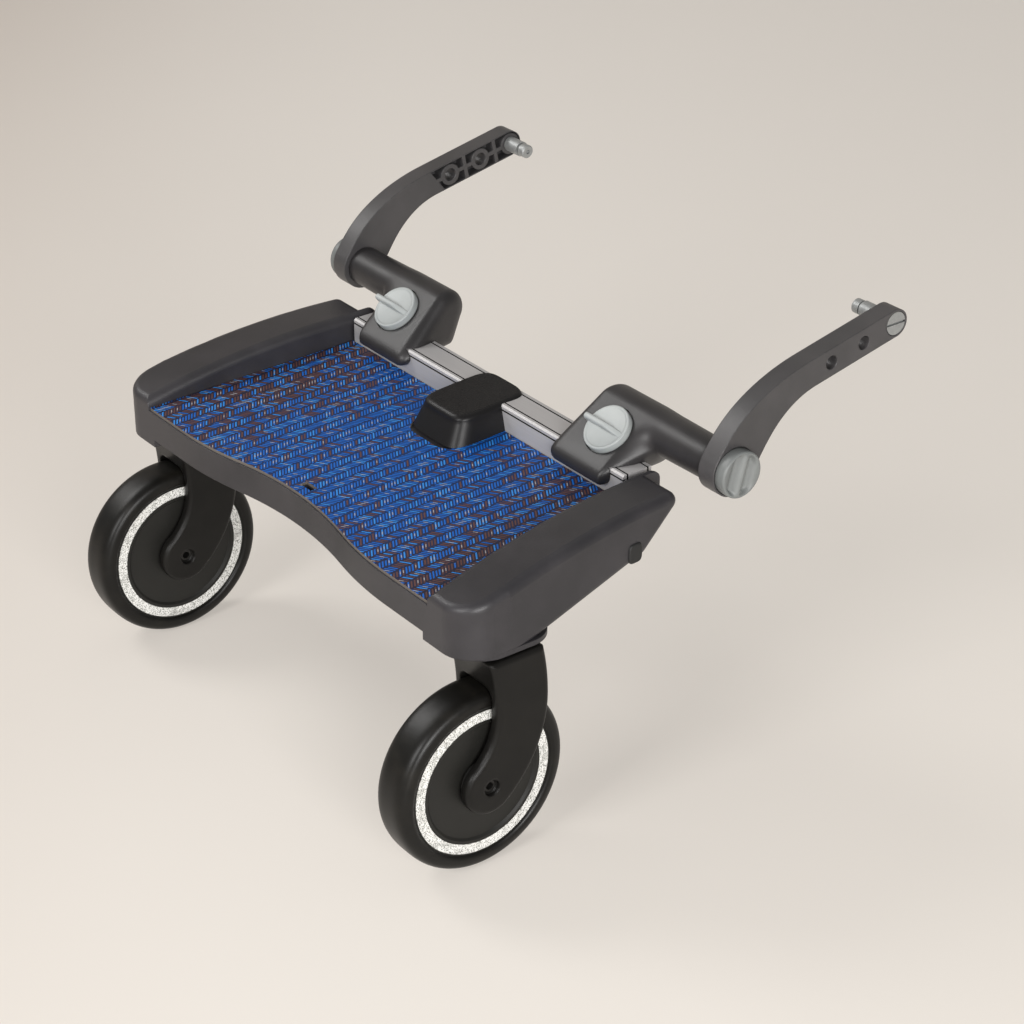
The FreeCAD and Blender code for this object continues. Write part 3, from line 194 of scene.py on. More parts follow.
def skin(name, points, closed=False):
    """A grid of points (rows, columns, 3) as a mesh whose columns run round and close on themselves;
    with closed, the rows do as well. Faces look along column step x row step."""
    rows, columns = points.shape[:2]
    index = np.arange(rows * columns).reshape(rows, columns)
    this = index if closed else index[:-1]
    after = np.roll(index, -1, axis=0)[: len(this)]
    quads = np.stack([this, np.roll(this, -1, axis=1), np.roll(after, -1, axis=1), after], axis=2)
    mesh = bpy.data.meshes.new(name)
    mesh.from_pydata(points.reshape(-1, 3).tolist(), [], quads.reshape(-1, 4).tolist())
    mesh.shade_smooth()
    piece = bpy.data.objects.new(name, mesh)
    bpy.context.scene.collection.objects.link(piece)
    return piece


def close(piece):
    """Merges the points that meet at the poles and turns all faces outward."""
    work = bmesh.new()
    work.from_mesh(piece.data)
    bmesh.ops.remove_doubles(work, verts=work.verts, dist=1e-7)
    bmesh.ops.recalc_face_normals(work, faces=work.faces)
    work.to_mesh(piece.data)
    work.free()


WHEEL_X = 0.179
AXLE_Y = -0.13175
TYRE_RADIUS = 0.0625
TYRE_HALF = 0.0145
TYRE_FOOT = 0.0515
TYRE_ROUND = 3.7
FOOT_INSET = 0.0012
FOOT_SHARE = 0.08
BASE_STEPS = np.array([0.9, 0.3, -0.3, -0.9])


def tyre_surface(sign, around=192, across=56):
    """A superellipse section, half = cos^(2/n) and rise = sin^(2/n), turned about the axle. Its foot is
    drawn in where the tyre grips the hub's rim, and a flat base closes it."""
    angle = np.linspace(0.0, math.pi, across)
    side = flattened(np.cos(angle), 2 / TYRE_ROUND)
    rise = np.abs(np.sin(angle)) ** (2 / TYRE_ROUND)
    foot = np.clip(1 - rise / FOOT_SHARE, 0, 1) ** 2
    half = -side * (TYRE_HALF - FOOT_INSET * foot)
    radius = TYRE_FOOT + (TYRE_RADIUS - TYRE_FOOT) * rise
    half = np.concatenate([half, half[-1:] * BASE_STEPS])
    radius = np.concatenate([radius, np.full(len(BASE_STEPS), TYRE_FOOT)])
    turn = full_turn(around)
    x = np.broadcast_to(sign * WHEEL_X + half[:, None], (len(half), around))
    y = AXLE_Y + radius[:, None] * np.cos(turn)
    z = TYRE_RADIUS + radius[:, None] * np.sin(turn)
    return np.stack([x, y, z], axis=2)


tyre_rubber = Finish("tyre_rubber", IOR=1.5, Specular_IOR_Level=0.28)
dust = tyre_rubber.noise(60.0, 5.0)
scuff = tyre_rubber.noise(900.0, 2.0)
tyre_rubber.set(Base_Color=tyre_rubber.mix(dust.step(0.45, 0.85), rgb(14, 13, 11), rgb(27, 25, 21)),
                Roughness=0.30 + 0.16 * dust)
tyre_rubber.bump(scuff, 0.12, 0.0002)
for side, sign in SIDES.items():
    tyre = skin("tyre_tread_" + side, tyre_surface(sign), closed=True)
    tyre.data.materials.append(tyre_rubber.material)
    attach(tyre, "wheel_" + side)
    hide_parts("tyre_" + side)

disc_plastic = Finish("wheel_disc_plastic", Specular_IOR_Level=0.36)
cloud = disc_plastic.noise(45.0, 4.0)
grit = disc_plastic.noise(2200.0, 2.0)
disc_plastic.set(Base_Color=disc_plastic.mix(cloud, rgb(21, 21, 19), rgb(31, 30, 27)),
                 Roughness=0.42 + 0.18 * cloud)
disc_plastic.bump(grit, 0.18, 0.0002, 0.0005)
dress(disc_plastic, *both("wheel_hub"))

BEADS_PER_METRE = 1500.0
reflective = Finish("reflective_band", Coat_Roughness=0.2)
bead = reflective.node("TexVoronoi", {"feature": "F1"}, Vector=reflective.place(), Scale=BEADS_PER_METRE)
lit = 1.0 - bead.step(0.52, 0.74)
clean = reflective.noise(160.0, 3.0).step(0.34, 0.50)
reflective.set(Base_Color=reflective.mix(lit * (0.6 + 0.4 * clean), rgb(132, 133, 128), rgb(236, 236, 233)),
               Roughness=0.30 + 0.25 * (1.0 - lit), Coat_Weight=0.3)
reflective.bump(lit, 0.30, 0.0002)
dress(reflective, *both("reflector_rings"))


# Fasteners, shafts and bushes: turned or rolled bright steel with faint lathe marks, painted near-black
# on the axles as painted shade of their dark holes, brass for the threaded inserts, and plain nylon for
# bushes, washers and clamp shoes.
# Most of them are pressed or screwed into the mouldings, out of sight.
def metal(name, low, high, rough, stretch, metallic=1.0):
    """Fine lines drawn out along one axis, as brushing or turning leaves them."""
    made = Finish(name, Metallic=metallic)
    lines = made.noise(1.0, 4.0, made.node("Mapping", None, made.place(), Scale=stretch))
    made.set(Base_Color=made.mix(lines, low, high), Roughness=rough + 0.14 * lines)
    made.bump(lines, 0.08, 0.0002)
    return made


UPRIGHT_LINES = (900.0, 900.0, 2200.0)
CROSSWISE_LINES = (2200.0, 900.0, 900.0)
steel = metal("bright_steel", rgb(150, 151, 153), rgb(196, 197, 199), 0.26, UPRIGHT_LINES)
dress(steel, *both("stem"), *both("stem_clip"), *both("arm_bolt"),
      *both("bracket_knob_screw"), "rail_screws", "housing_screws")
# Painted shade: the axles' steel is coloured near-black to look like the dark holes they sit in.
shaded_axle_steel = metal("axle_steel_painted_shade", rgb(40, 39, 38), rgb(62, 61, 59), 0.36, CROSSWISE_LINES, 0.7)
dress(shaded_axle_steel, *both("axle"))
brass = metal("turned_brass", rgb(176, 140, 70), rgb(206, 172, 98), 0.3, CROSSWISE_LINES)
dress(brass, *both("arm_insert"))
nylon = Finish("natural_nylon", Roughness=0.45)
nylon.set(Base_Color=nylon.mix(nylon.noise(70.0), rgb(206, 203, 192), rgb(222, 220, 212)))
nylon.bump(nylon.noise(1800.0), 0.1, 0.0002)
dress(nylon, *both("wheel_bush"), *both("thrust_washer"), *both("swivel_bushes"), *both("clamp_shoe"))


# Castor forks: black mouldings with two curved legs and well-rounded edges. Each turns on a
# steel stem and holds its wheel on a pressed-in axle.
def moulded(name, dark, pale, rough, grain, relief, edge=0.0008):
    """Moulded plastic: a fine pitted texture under slow changes of tone and gloss."""
    made = Finish(name, IOR=1.48)
    slow = made.noise(22.0, 4.0)
    pits = made.noise(grain, 3.0, roughness=0.7)
    made.set(Base_Color=made.mix(slow.step(0.3, 0.75), dark, pale),
             Roughness=rough + 0.16 * slow - 0.10 * pits)
    made.bump(pits, relief, 0.0003, edge)
    return made


fork_plastic = moulded("fork_plastic", rgb(17, 16, 15), rgb(25, 24, 22), 0.31, 1700.0, 0.18, 0.0030)
fork_plastic.set(Specular_IOR_Level=0.22)
dress(fork_plastic, *both("fork"))


# Deck and castor housings: charcoal injection mouldings with a fine spark-eroded texture. The
# deck is one piece with its raised side bolsters, and the housings are screwed up into it.
deck_plastic = moulded("deck_plastic", rgb(40, 39, 42), rgb(53, 51, 54), 0.38, 1300.0, 0.30)
dress(deck_plastic, "deck", *both("castor_housing"))


# Mat: a thin rubber sheet with a printed and lightly raised pattern, glued into the well
# between the bolsters. The print is a straight herringbone of slim bars in blue and brown,
# with pale dashes. The cut edge is the grey-brown rubber, made paler by a painted highlight along it.
BAR_COLUMN = 0.0076
BAR_PITCH = 0.0023
BAR_SLANT = 0.62
SECOND_DRAW = 7.31
PALE_DASH_FROM = 0.74
LIGHT_BLUE_FROM = 0.84
BROWN_MIDDLE = 0.14
BROWN_OUTWARD = 0.34
mat_print = Finish("mat_print", Specular_IOR_Level=0.3)
across, along, _ = mat_print.axes()
column = (across / BAR_COLUMN).floor()
off_column = (across / BAR_COLUMN) % 1.0 - 0.5
lean = 1.0 - 2.0 * (column % 2.0)
row_place = (along + lean * off_column * (BAR_COLUMN * BAR_SLANT)) / BAR_PITCH
row = row_place.floor()
off_row = abs(row_place % 1.0 - 0.5)
cell = mat_print.node("CombineXYZ", None, column, row, 0.5)
chance = mat_print.node("TexWhiteNoise", {"noise_dimensions": "3D"}, cell)
spare_chance = (chance * SECOND_DRAW) % 1.0
bar_reach = 0.30 + 0.18 * spare_chance
bar = (1.0 - off_row.step(0.20, 0.31)) * (1.0 - (abs(off_column) - bar_reach).step(-0.02, 0.02))
short_bar = (1.0 - off_row.step(0.10, 0.20)) * (1.0 - abs(off_column).step(0.16, 0.20))
dash = (spare_chance > PALE_DASH_FROM) * short_bar
drift = mat_print.noise(14.0, 2.0)
outer = (abs(across) + 0.12 * (drift - 0.5)).step(0.04, 0.16)
ink = mat_print.mix(chance > LIGHT_BLUE_FROM, rgb(6, 98, 192), rgb(46, 136, 220))
ink = mat_print.mix(chance < (BROWN_MIDDLE + BROWN_OUTWARD * outer), ink, rgb(92, 60, 56))
ground = mat_print.mix(outer, rgb(12, 44, 92), rgb(36, 33, 50))
print_tone = mat_print.mix(dash, mat_print.mix(bar, ground, ink), rgb(158, 160, 166))
# Edge faces: the rubber's grey-brown, lightened as a painted highlight along the mat's edge.
edge_rubber_and_highlight = mat_print.mix(drift, rgb(92, 86, 82), rgb(112, 106, 100))
top_face = mat_print.facing_up().step(0.3, 0.6)
mat_print.set(Base_Color=mat_print.mix(top_face, edge_rubber_and_highlight, print_tone), Roughness=0.58 - 0.12 * bar)
mat_print.bump(bar + 0.25 * mat_print.noise(1500.0), 0.25, 0.0003)
dress(mat_print, "deck_mat")


# Mounting rail: a drawn aluminium section, satin along its length and screwed to the deck, with
# a bead along its front top edge for the brackets. Its narrow grooves are painted near-black as painted
# shade.
LENGTHWISE_LINES = (14.0, 2600.0, 2600.0)
GROOVE_HALF = 0.0007
FRONT_GROOVE_Z = 0.2067
FRONT_GROOVE_Y = (0.00985, 0.0111)
BEAD_GROOVE_Y = 0.01335
REAR_GROOVE_Y = 0.02975
BELOW_TOP = 0.21022
aluminium = metal("satin_aluminium", rgb(172, 170, 170), rgb(194, 192, 192), 0.46, LENGTHWISE_LINES, 0.35)
_, rail_deep, rail_high = aluminium.axes()
# Painted shade: the grooves on the top and the line under the front bead are coloured near-black.
on_bead_groove = abs(rail_deep - BEAD_GROOVE_Y) < GROOVE_HALF
on_rear_groove = abs(rail_deep - REAR_GROOVE_Y) < GROOVE_HALF
shaded_top_grooves = (rail_high < BELOW_TOP) * (on_bead_groove + on_rear_groove)
shaded_front_groove = ((abs(rail_high - FRONT_GROOVE_Z) < GROOVE_HALF)
                * (rail_deep < FRONT_GROOVE_Y[1]) * (rail_deep > FRONT_GROOVE_Y[0]))
satin = Tone(aluminium, aluminium.shader.inputs["Base Color"].links[0].from_socket)
aluminium.set(Base_Color=aluminium.mix(shaded_top_grooves + shaded_front_groove, satin, rgb(22, 21, 21)))
dress(aluminium, "mount_rail")


# Centre block: a black moulded cover with leaning walls and a rounded nose, clipped over the
# middle of the rail. Its sloping top has a leather-like grain.
grained = Finish("grained_plastic", IOR=1.46, Specular_IOR_Level=0.32)
hide = grained.node("TexVoronoi", {"feature": "DISTANCE_TO_EDGE"}, Vector=grained.place(), Scale=520.0)
on_top = grained.facing_up().step(0.86, 0.96)
crease = 1.0 - on_top * (1.0 - hide.step(0.0, 0.16))
grained.set(Base_Color=grained.mix(crease, rgb(10, 9, 10), rgb(19, 18, 19)),
            Roughness=0.44 + 0.16 * on_top - 0.06 * crease)
grained.bump(crease + 0.3 * grained.noise(2400.0), 0.45, 0.0004)
MAT_SLOPE = 0.0643
COVER_HALF = 0.0275
COVER_NOSE = -0.0322
COVER_REAR = 0.0327
COVER_FOOT = 0.1939
COVER_WALL = 0.0148
COVER_ROUND = 0.0042
SIDE_DRAFT = 0.0038
NOSE_DRAFT = 0.0078
REAR_ROUND_SHARE = 0.4
PLAN_ROUND = 5.0


def centre_surface(around=176, walls=8, bends=12, tops=6):
    """A superellipse plan, |x/w|^5 + |y/l|^5 = 1, drawn in as it rises so that the walls lean and the nose
    most of all; a quarter circle rounds the top edge and the sloping top closes to its middle."""
    rise = np.concatenate([np.linspace(0.0, 1.0, walls), np.ones(bends + tops)])
    bend = np.linspace(0.0, math.pi / 2, bends + 1)[1:]
    arc = np.concatenate([np.zeros(walls), bend, np.full(tops, math.pi / 2)])
    shrink = np.concatenate([np.ones(walls + bends), np.linspace(1.0, 0.0, tops + 1)[1:]])[:, None]
    inset = (COVER_ROUND * (1 - np.cos(arc)))[:, None]
    half = (COVER_HALF - SIDE_DRAFT * rise)[:, None] - inset
    front = (COVER_NOSE + NOSE_DRAFT * rise)[:, None] + inset
    rear = COVER_REAR - REAR_ROUND_SHARE * inset
    turn = full_turn(around)
    x = half * shrink * flattened(np.cos(turn), 2 / PLAN_ROUND)
    y = (front + rear) / 2 + (rear - front) / 2 * shrink * flattened(np.sin(turn), 2 / PLAN_ROUND)
    lift = np.where(arc > 0, COVER_WALL + COVER_ROUND * np.sin(arc), COVER_WALL * rise)[:, None]
    z = COVER_FOOT - MAT_SLOPE * (COVER_REAR - y) + lift
    return np.stack([x, y, z], axis=2)


cover = skin("centre_cover", centre_surface())
close(cover)
cover.data.materials.append(grained.material)
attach(cover, "deck")
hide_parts("centre_block")


# Side plugs: soft black rubber buttons with rounded edges, pressed into holes in the leaning
# sides of the deck.
plug_rubber = moulded("plug_rubber", rgb(22, 22, 22), rgb(30, 30, 30), 0.55, 900.0, 0.15)
PLUG_X = 0.19033
PLUG_Y = -0.01425
PLUG_Z = 0.1820
PLUG_HALF_Y = 0.0056
PLUG_HALF_Z = 0.0068
PLUG_SUNK = -0.0006
PLUG_WALL = 0.0009
PLUG_EDGE = 0.0012
PLUG_DRAWN_IN = 0.22
PLUG_TOP = ((0.5, 0.00220), (0.2, 0.00225), (0.0, 0.00226))
PLUG_ROUND = 3.6
SIDE_LEAN = -0.0708


def plug_surface(sign, around=72, bends=8):
    """A superellipse button, |y/a|^3.6 + |z/b|^3.6 = 1, on the leaning side face: a low wall, a quarter
    circle and a nearly flat top that closes to its middle."""
    arc = np.linspace(0.0, math.pi / 2, bends)
    top_size, top_height = np.array(PLUG_TOP).T
    size = np.concatenate([[1.0], 1 - PLUG_DRAWN_IN * (1 - np.cos(arc)), top_size])[:, None]
    height = np.concatenate([[PLUG_SUNK], PLUG_WALL + PLUG_EDGE * np.sin(arc), top_height])[:, None]
    turn = full_turn(around)
    y = PLUG_HALF_Y * size * flattened(np.cos(turn), 2 / PLUG_ROUND)
    z = PLUG_HALF_Z * size * flattened(np.sin(turn), 2 / PLUG_ROUND)
    return np.stack([sign * (PLUG_X + SIDE_LEAN * y + height), PLUG_Y + y, PLUG_Z + z], axis=2)


for side, sign in SIDES.items():
    plug = skin("side_button_" + side, plug_surface(sign))
    close(plug)
    plug.data.materials.append(plug_rubber.material)
    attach(plug, "deck")
    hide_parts("side_plug_" + side)


# Brackets: saddle blocks that slide on the rail, each running out into the tube for its arm in
# one hollow charcoal moulding. A screw through the sloping face presses a shoe on the rail.
TUBE_Y = 0.04945
TUBE_Z = 0.2255
TUBE_END = 0.1936
TUBE_RADIUS = 0.0138
TUBE_TAPER_FROM = 0.110
MOUTH_X = (0.0006, 0.0002, 0.0)
MOUTH_ROUND = ((0.00015,), (0.0006,))
BLOCK_IN = 0.078
BLOCK_FLAT = 0.0905
BLOCK_CROWN = 0.015
BLOCK_ROUND = 0.0112
BLEND = (0.132, 0.150)
FACES = ((129.0, 0.015), (180.0, 0.0471), (272.5, 0.0261), (335.0, 0.015))
FACE_SHARP = 17.0
CROWN_MIDDLE = math.radians(52.0)
CROWN_REACH = math.radians(77.5)
LEAN = 0.0105
LEAN_FROM = 0.105
LEAN_Y = 0.006
LEAN_DEPTH = 0.05
LEAN_PAST = 0.1


def s_curve(part):
    """3 part^2 - 2 part^3, which goes from 0 to 1 and is level at both ends."""
    return part ** 2 * (3 - 2 * part)


def block_outline(turn, inset):
    """Distance from the tube's axis to the block's skin at each angle. The flat sides join as
    1/r^p = sum of (cos(angle) / distance)^p, which rounds their corners, and the crown is a circle."""
    pull = 0.0
    for bearing, distance in FACES:
        facing = np.clip(np.cos(turn - math.radians(bearing)), 0.0, None)
        pull = pull + (facing / (distance - inset)) ** FACE_SHARP
    sides = np.maximum(pull, 1e-30) ** (-1 / FACE_SHARP)
    crown = np.cos(turn - CROWN_MIDDLE) > math.cos(CROWN_REACH)
    return np.where(crown, BLOCK_CROWN - inset, sides)


def bracket_surface(sign, around=240, bends=14, flats=14, blends=34, tubes=10):
    """The block's outline carried along the rail: drawn in over a quarter circle at its inner end, then
    tube + share * (outline - tube) with a share that falls from 1 to 0 in an S-curve to the tube. The
    inner end leans: its points shift along the rail in step with their distance to the rear."""
    arc = np.linspace(0.0, math.pi / 2, bends)
    x = np.concatenate([BLOCK_IN + BLOCK_ROUND * (1 - np.cos(arc)), np.linspace(BLOCK_FLAT, BLEND[0], flats),
                        np.linspace(*BLEND, blends)[1:],
                        np.linspace(BLEND[1], TUBE_END - MOUTH_X[0], tubes)[1:],
                        TUBE_END - np.array(MOUTH_X[1:])])
    inset = np.concatenate([BLOCK_ROUND * (1 - np.sin(arc)), np.zeros(len(x) - len(arc))])[:, None]
    share = 1 - s_curve(np.clip((x - BLEND[0]) / (BLEND[1] - BLEND[0]), 0, 1)[:, None])
    taper = np.clip((x - TUBE_TAPER_FROM) / (TUBE_END - TUBE_TAPER_FROM), 0, 1)[:, None]
    tube = BLOCK_CROWN + (TUBE_RADIUS - BLOCK_CROWN) * taper
    tube[-2:] -= np.array(MOUTH_ROUND)
    turn = full_turn(around)[None, :]
    radius = tube + share * (block_outline(turn, inset) - tube)
    ring = np.stack([np.broadcast_to(sign * x[:, None], radius.shape), TUBE_Y + radius * np.cos(turn),
                     TUBE_Z + radius * np.sin(turn)], axis=2)
    inner, outer = np.array([[sign * x[0], TUBE_Y, TUBE_Z], [sign * x[-1], TUBE_Y, TUBE_Z]])
    ring = np.concatenate([np.broadcast_to(inner, ring[:1].shape), ring,
                           np.broadcast_to(outer, ring[:1].shape)])
    inward = np.clip((LEAN_FROM - np.abs(ring[..., 0])) / (LEAN_FROM - BLOCK_IN), 0, 1)
    to_rear = np.clip((ring[..., 1] - LEAN_Y) / LEAN_DEPTH, -LEAN_PAST, 1 + LEAN_PAST)
    ring[..., 0] += sign * LEAN * inward * to_rear
    return ring if sign > 0 else ring[:, ::-1]


def drum(start, end, radius, around=96):
    """A closed cylinder between two points: its end rings shrink to the points."""
    start, end = Vector(start), Vector(end)
    across = (end - start).orthogonal().normalized()
    other = (end - start).normalized().cross(across)
    turn = full_turn(around)[:, None]
    rim = radius * (np.cos(turn) * np.array(across) + np.sin(turn) * np.array(other))
    start, end = np.array(start), np.array(end)
    return np.stack([start + 0 * rim, start + rim, end + rim, end + 0 * rim])


def brick(low, high):
    """A box between two corners, as a square ring carried from the lower x to the upper."""
    (x0, y0, z0), (x1, y1, z1) = low, high
    square = np.array([[y0, z0], [y1, z0], [y1, z1], [y0, z1]])
    middle = np.broadcast_to(square.mean(axis=0), square.shape)
    rings = ((x0, middle), (x0, square), (x1, square), (x1, middle))
    return np.stack([np.column_stack([np.full(4, x), ring]) for x, ring in rings])


def carve(piece, *rooms):
    """Takes the rooms out of the piece; poles are merged first, so that every skin is closed."""
    tools = [skin("room", room) for room in rooms]
    for shape in (piece, *tools):
        close(shape)
    for tool in tools:
        rule = piece.modifiers.new("room", "BOOLEAN")
        rule.operation = "DIFFERENCE"
        rule.solver = "EXACT"
        rule.object = tool
    done = bpy.data.meshes.new_from_object(piece.evaluated_get(bpy.context.evaluated_depsgraph_get()))
    piece.modifiers.clear()
    piece.data = done
    done.shade_smooth()
    done.set_sharp_from_angle(angle=math.radians(38.0))
    for tool in tools:
        bpy.data.objects.remove(tool)


# Rooms of a bracket. The knob's seat, the shoe's room and the screw's hole are depths out of the
# sloping face, a radius and a count of sides; the bolt's room runs along the tube.
RAIL_ROOM_X = (0.070, 0.170)
RAIL_ROOM_LOW = (0.00935, 0.15)
RAIL_ROOM_HIGH = (0.03315, 0.2107)
KNOB_SEAT = (-0.0025, 0.0120, 0.0173, 96)
SHOE_ROOM = (-0.0220, -0.0087, 0.0098, 96)
SCREW_HOLE = (-0.0120, 0.0010, 0.0033, 40)
BOLT_ROOM_X = (0.1456, 0.2)
BOLT_ROOM_RADIUS = 0.0095
KNOB_X = 0.1168
KNOB_PLACE = (0.02449, 0.22459)
SLOPE = math.radians(39.0)
normal = Vector((0.0, -math.sin(SLOPE), math.cos(SLOPE)))
upward = Vector((0.0, math.cos(SLOPE), math.sin(SLOPE)))
bracket_plastic = moulded("bracket_plastic", rgb(34, 33, 34), rgb(47, 45, 46), 0.37, 1500.0, 0.22)
for side, sign in SIDES.items():
    bracket = skin("bracket_shell_" + side, bracket_surface(sign))
    face = Vector((sign * KNOB_X, *KNOB_PLACE))
    low_x, high_x = sorted(sign * x for x in RAIL_ROOM_X)
    rail_room = brick((low_x, *RAIL_ROOM_LOW), (high_x, *RAIL_ROOM_HIGH))
    knob_seat, shoe_room, screw_hole = [drum(face + low * normal, face + high * normal, radius, count)
                                        for low, high, radius, count in (KNOB_SEAT, SHOE_ROOM, SCREW_HOLE)]
    bolt_room = drum(*[(sign * x, TUBE_Y, TUBE_Z) for x in BOLT_ROOM_X], BOLT_ROOM_RADIUS)
    carve(bracket, rail_room, knob_seat, shoe_room, bolt_room, screw_hole)
    bracket.data.materials.clear()
    bracket.data.materials.append(bracket_plastic.material)
    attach(bracket, "bracket_" + side)
    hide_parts("bracket_" + side)


# Bracket knobs: light grey moulded discs, each with a finger bar across its face, sunk into the
# bracket's sloping face and fixed to the clamp screw.
DISC_PROFILE = ((0.0, -0.0022), (0.0160, -0.0022), (0.0165, -0.0018), (0.0165, 0.0033), (0.0164, 0.00372),
                (0.0161, 0.00405), (0.0157, 0.0042), (0.0150, 0.0042), (0.0147, 0.0041), (0.0143, 0.0038),
                (0.0139, 0.0037), (0.0, 0.0037))
FIN_FROM = -0.0191
FIN_TO = 0.0150
FIN_HALF = 0.0021
FIN_LOW = 0.0014
FIN_HIGH = 0.0086
FIN_END = 0.0042
FIN_ROUND = 0.0016
FIN_POWER = 0.6


def laid(sign, u, v, height):
    """Points given along the rail, up the slope and out of the bracket's sloping face."""
    face = np.array((sign * KNOB_X, *KNOB_PLACE))
    return (face + u[..., None] * np.array((1.0, 0.0, 0.0)) + v[..., None] * np.array(upward)
            + height[..., None] * np.array(normal))


def knob_disc(sign, around=128):
    """A profile of radius and height turned about the screw: flat underside, and a rounded rim that
    stands a little above the face inside it."""
    radius, height = np.array(DISC_PROFILE).T[..., None]
    turn = full_turn(around)
    return laid(sign, radius * np.cos(turn), radius * np.sin(turn),
                np.broadcast_to(height, (len(radius), around)))


def knob_fin(sign, around=40, along=60):
    """A rounded bar across the disc: a superellipse section whose crest falls in an S-curve towards the
    far rim, closed at both ends by a quarter ellipse."""
    share = (1 - np.cos(np.linspace(0.0, math.pi, along))) / 2
    u = FIN_FROM + (FIN_TO - FIN_FROM) * share
    crest = FIN_HIGH - (FIN_HIGH - FIN_END) * s_curve(np.clip(u / FIN_TO, 0, 1))
    end = np.minimum(np.minimum(u - FIN_FROM, FIN_TO - u) / FIN_ROUND, 1.0)
    size = np.sqrt(np.clip(1 - (1 - end) ** 2, 0, 1))[:, None]
    turn = full_turn(around)
    wide = flattened(np.cos(turn), FIN_POWER)
    tall = flattened(np.sin(turn), FIN_POWER)
    middle = (crest + FIN_LOW)[:, None] / 2
    return laid(sign, np.broadcast_to(u[:, None], (along, around)), FIN_HALF * size * wide,
                middle + (crest[:, None] - middle) * size * tall)


knob_plastic = moulded("knob_plastic", rgb(150, 155, 155), rgb(172, 176, 175), 0.38, 1900.0, 0.12, 0.0)
for side, sign in SIDES.items():
    for name, surface in (("knob_disc_", knob_disc(sign)), ("knob_fin_", knob_fin(sign))):
        knob = skin(name + side, surface)
        close(knob)
        knob.data.set_sharp_from_angle(angle=math.radians(50.0))
        knob.data.materials.append(knob_plastic.material)
        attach(knob, "bracket_knob_" + side)
        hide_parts("bracket_knob_" + side)


# End grips: grey moulded knobs at the outer ends of the tubes, scooped on both sides of a ridge
# for the fingers. Each is fixed to the bolt that clamps its arm.
GRIP_BACK = 0.2054
GRIP_RADIUS = 0.0156
GRIP_FOOT = (0.0150, 0.0006)
GRIP_WALL = 0.0086
GRIP_ROUND = 0.0016
GRIP_FACE = 0.0095
GRIP_TILT = math.radians(16.0)
FADE_FROM = 0.0146
FADE_WIDTH = 0.0030
SCOOP_DEPTH = 0.0036
SCOOP_MIDDLE = 0.0062
SCOOP_WIDTH = 0.0033
RIDGE_HEIGHT = 0.0008
RIDGE_WIDTH = 0.0026


def end_knob(sign, around=144, bends=8, rings=30):
    """A turned grip with two scoops beside a ridge. Across the ridge by b, the face sinks by
    depth * exp(-((|b| - middle) / width)^2) and rises by height * exp(-(b / width)^2), both faded out
    towards the rounded rim."""
    arc = np.linspace(0.0, math.pi / 2, bends)
    edge = GRIP_RADIUS - GRIP_ROUND
    inner = np.linspace(edge, 0.0, rings)[1:]
    radius = np.concatenate([[0.0, GRIP_FOOT[0], GRIP_RADIUS, GRIP_RADIUS], edge + GRIP_ROUND * np.cos(arc),
                             inner])
    level = np.concatenate([[0.0, 0.0, GRIP_FOOT[1], GRIP_WALL], GRIP_WALL + GRIP_ROUND * np.sin(arc),
                            np.full(len(inner), GRIP_WALL + GRIP_ROUND)])
    turn = full_turn(around)
    along = radius[:, None] * np.cos(turn)
    across = radius[:, None] * np.sin(turn)
    fade = s_curve(np.clip((FADE_FROM - radius) / FADE_WIDTH, 0, 1)[:, None])
    scoop = SCOOP_DEPTH * np.exp(-((np.abs(across) - SCOOP_MIDDLE) / SCOOP_WIDTH) ** 2)
    ridge = RIDGE_HEIGHT * np.exp(-(across / RIDGE_WIDTH) ** 2)
    height = level[:, None] + np.where((level > GRIP_FACE)[:, None], fade * (ridge - scoop), 0.0)
    x = sign * (GRIP_BACK + height)
    y = TUBE_Y + along * math.sin(GRIP_TILT) + across * math.cos(GRIP_TILT)
    z = TUBE_Z + along * math.cos(GRIP_TILT) - across * math.sin(GRIP_TILT)
    return np.stack([x, y, z], axis=2)


# A darker copy of the knobs' grey plastic: painted shade against the strong lamp from the right.
grip_plastic_shaded_copy = moulded("grip_plastic_shaded_copy", rgb(104, 107, 107), rgb(122, 125, 124), 0.40, 1900.0, 0.12, 0.0)
for side, sign in SIDES.items():
    grip = skin("end_grip_" + side, end_knob(sign))
    close(grip)
    grip.data.materials.append(grip_plastic_shaded_copy.material)
    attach(grip, "arm_knob_" + side)
    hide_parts("arm_knob_" + side)


# Arms: bent charcoal straps, smooth outside and ribbed inside, clamped to the tubes by the end
# grips. A grey metal pin screwed to each tip goes into a socket on the stroller.
ARM_RISE = math.radians(12.0)
ARM_STRAIGHT = 0.071
ARM_PIN = np.array((0.18145, 0.2885))
ARM_RUN = np.array((math.cos(ARM_RISE), math.sin(ARM_RISE)))
ARM_UP = np.array((-ARM_RUN[1], ARM_RUN[0]))
ARM_KNEE = ARM_PIN - ARM_STRAIGHT * ARM_RUN
ARM_ROOT = np.array((TUBE_Y, TUBE_Z))
ARM_KEPT = 0.0086
ARM_SHARE = 0.22
ARM_BLEND = 0.8


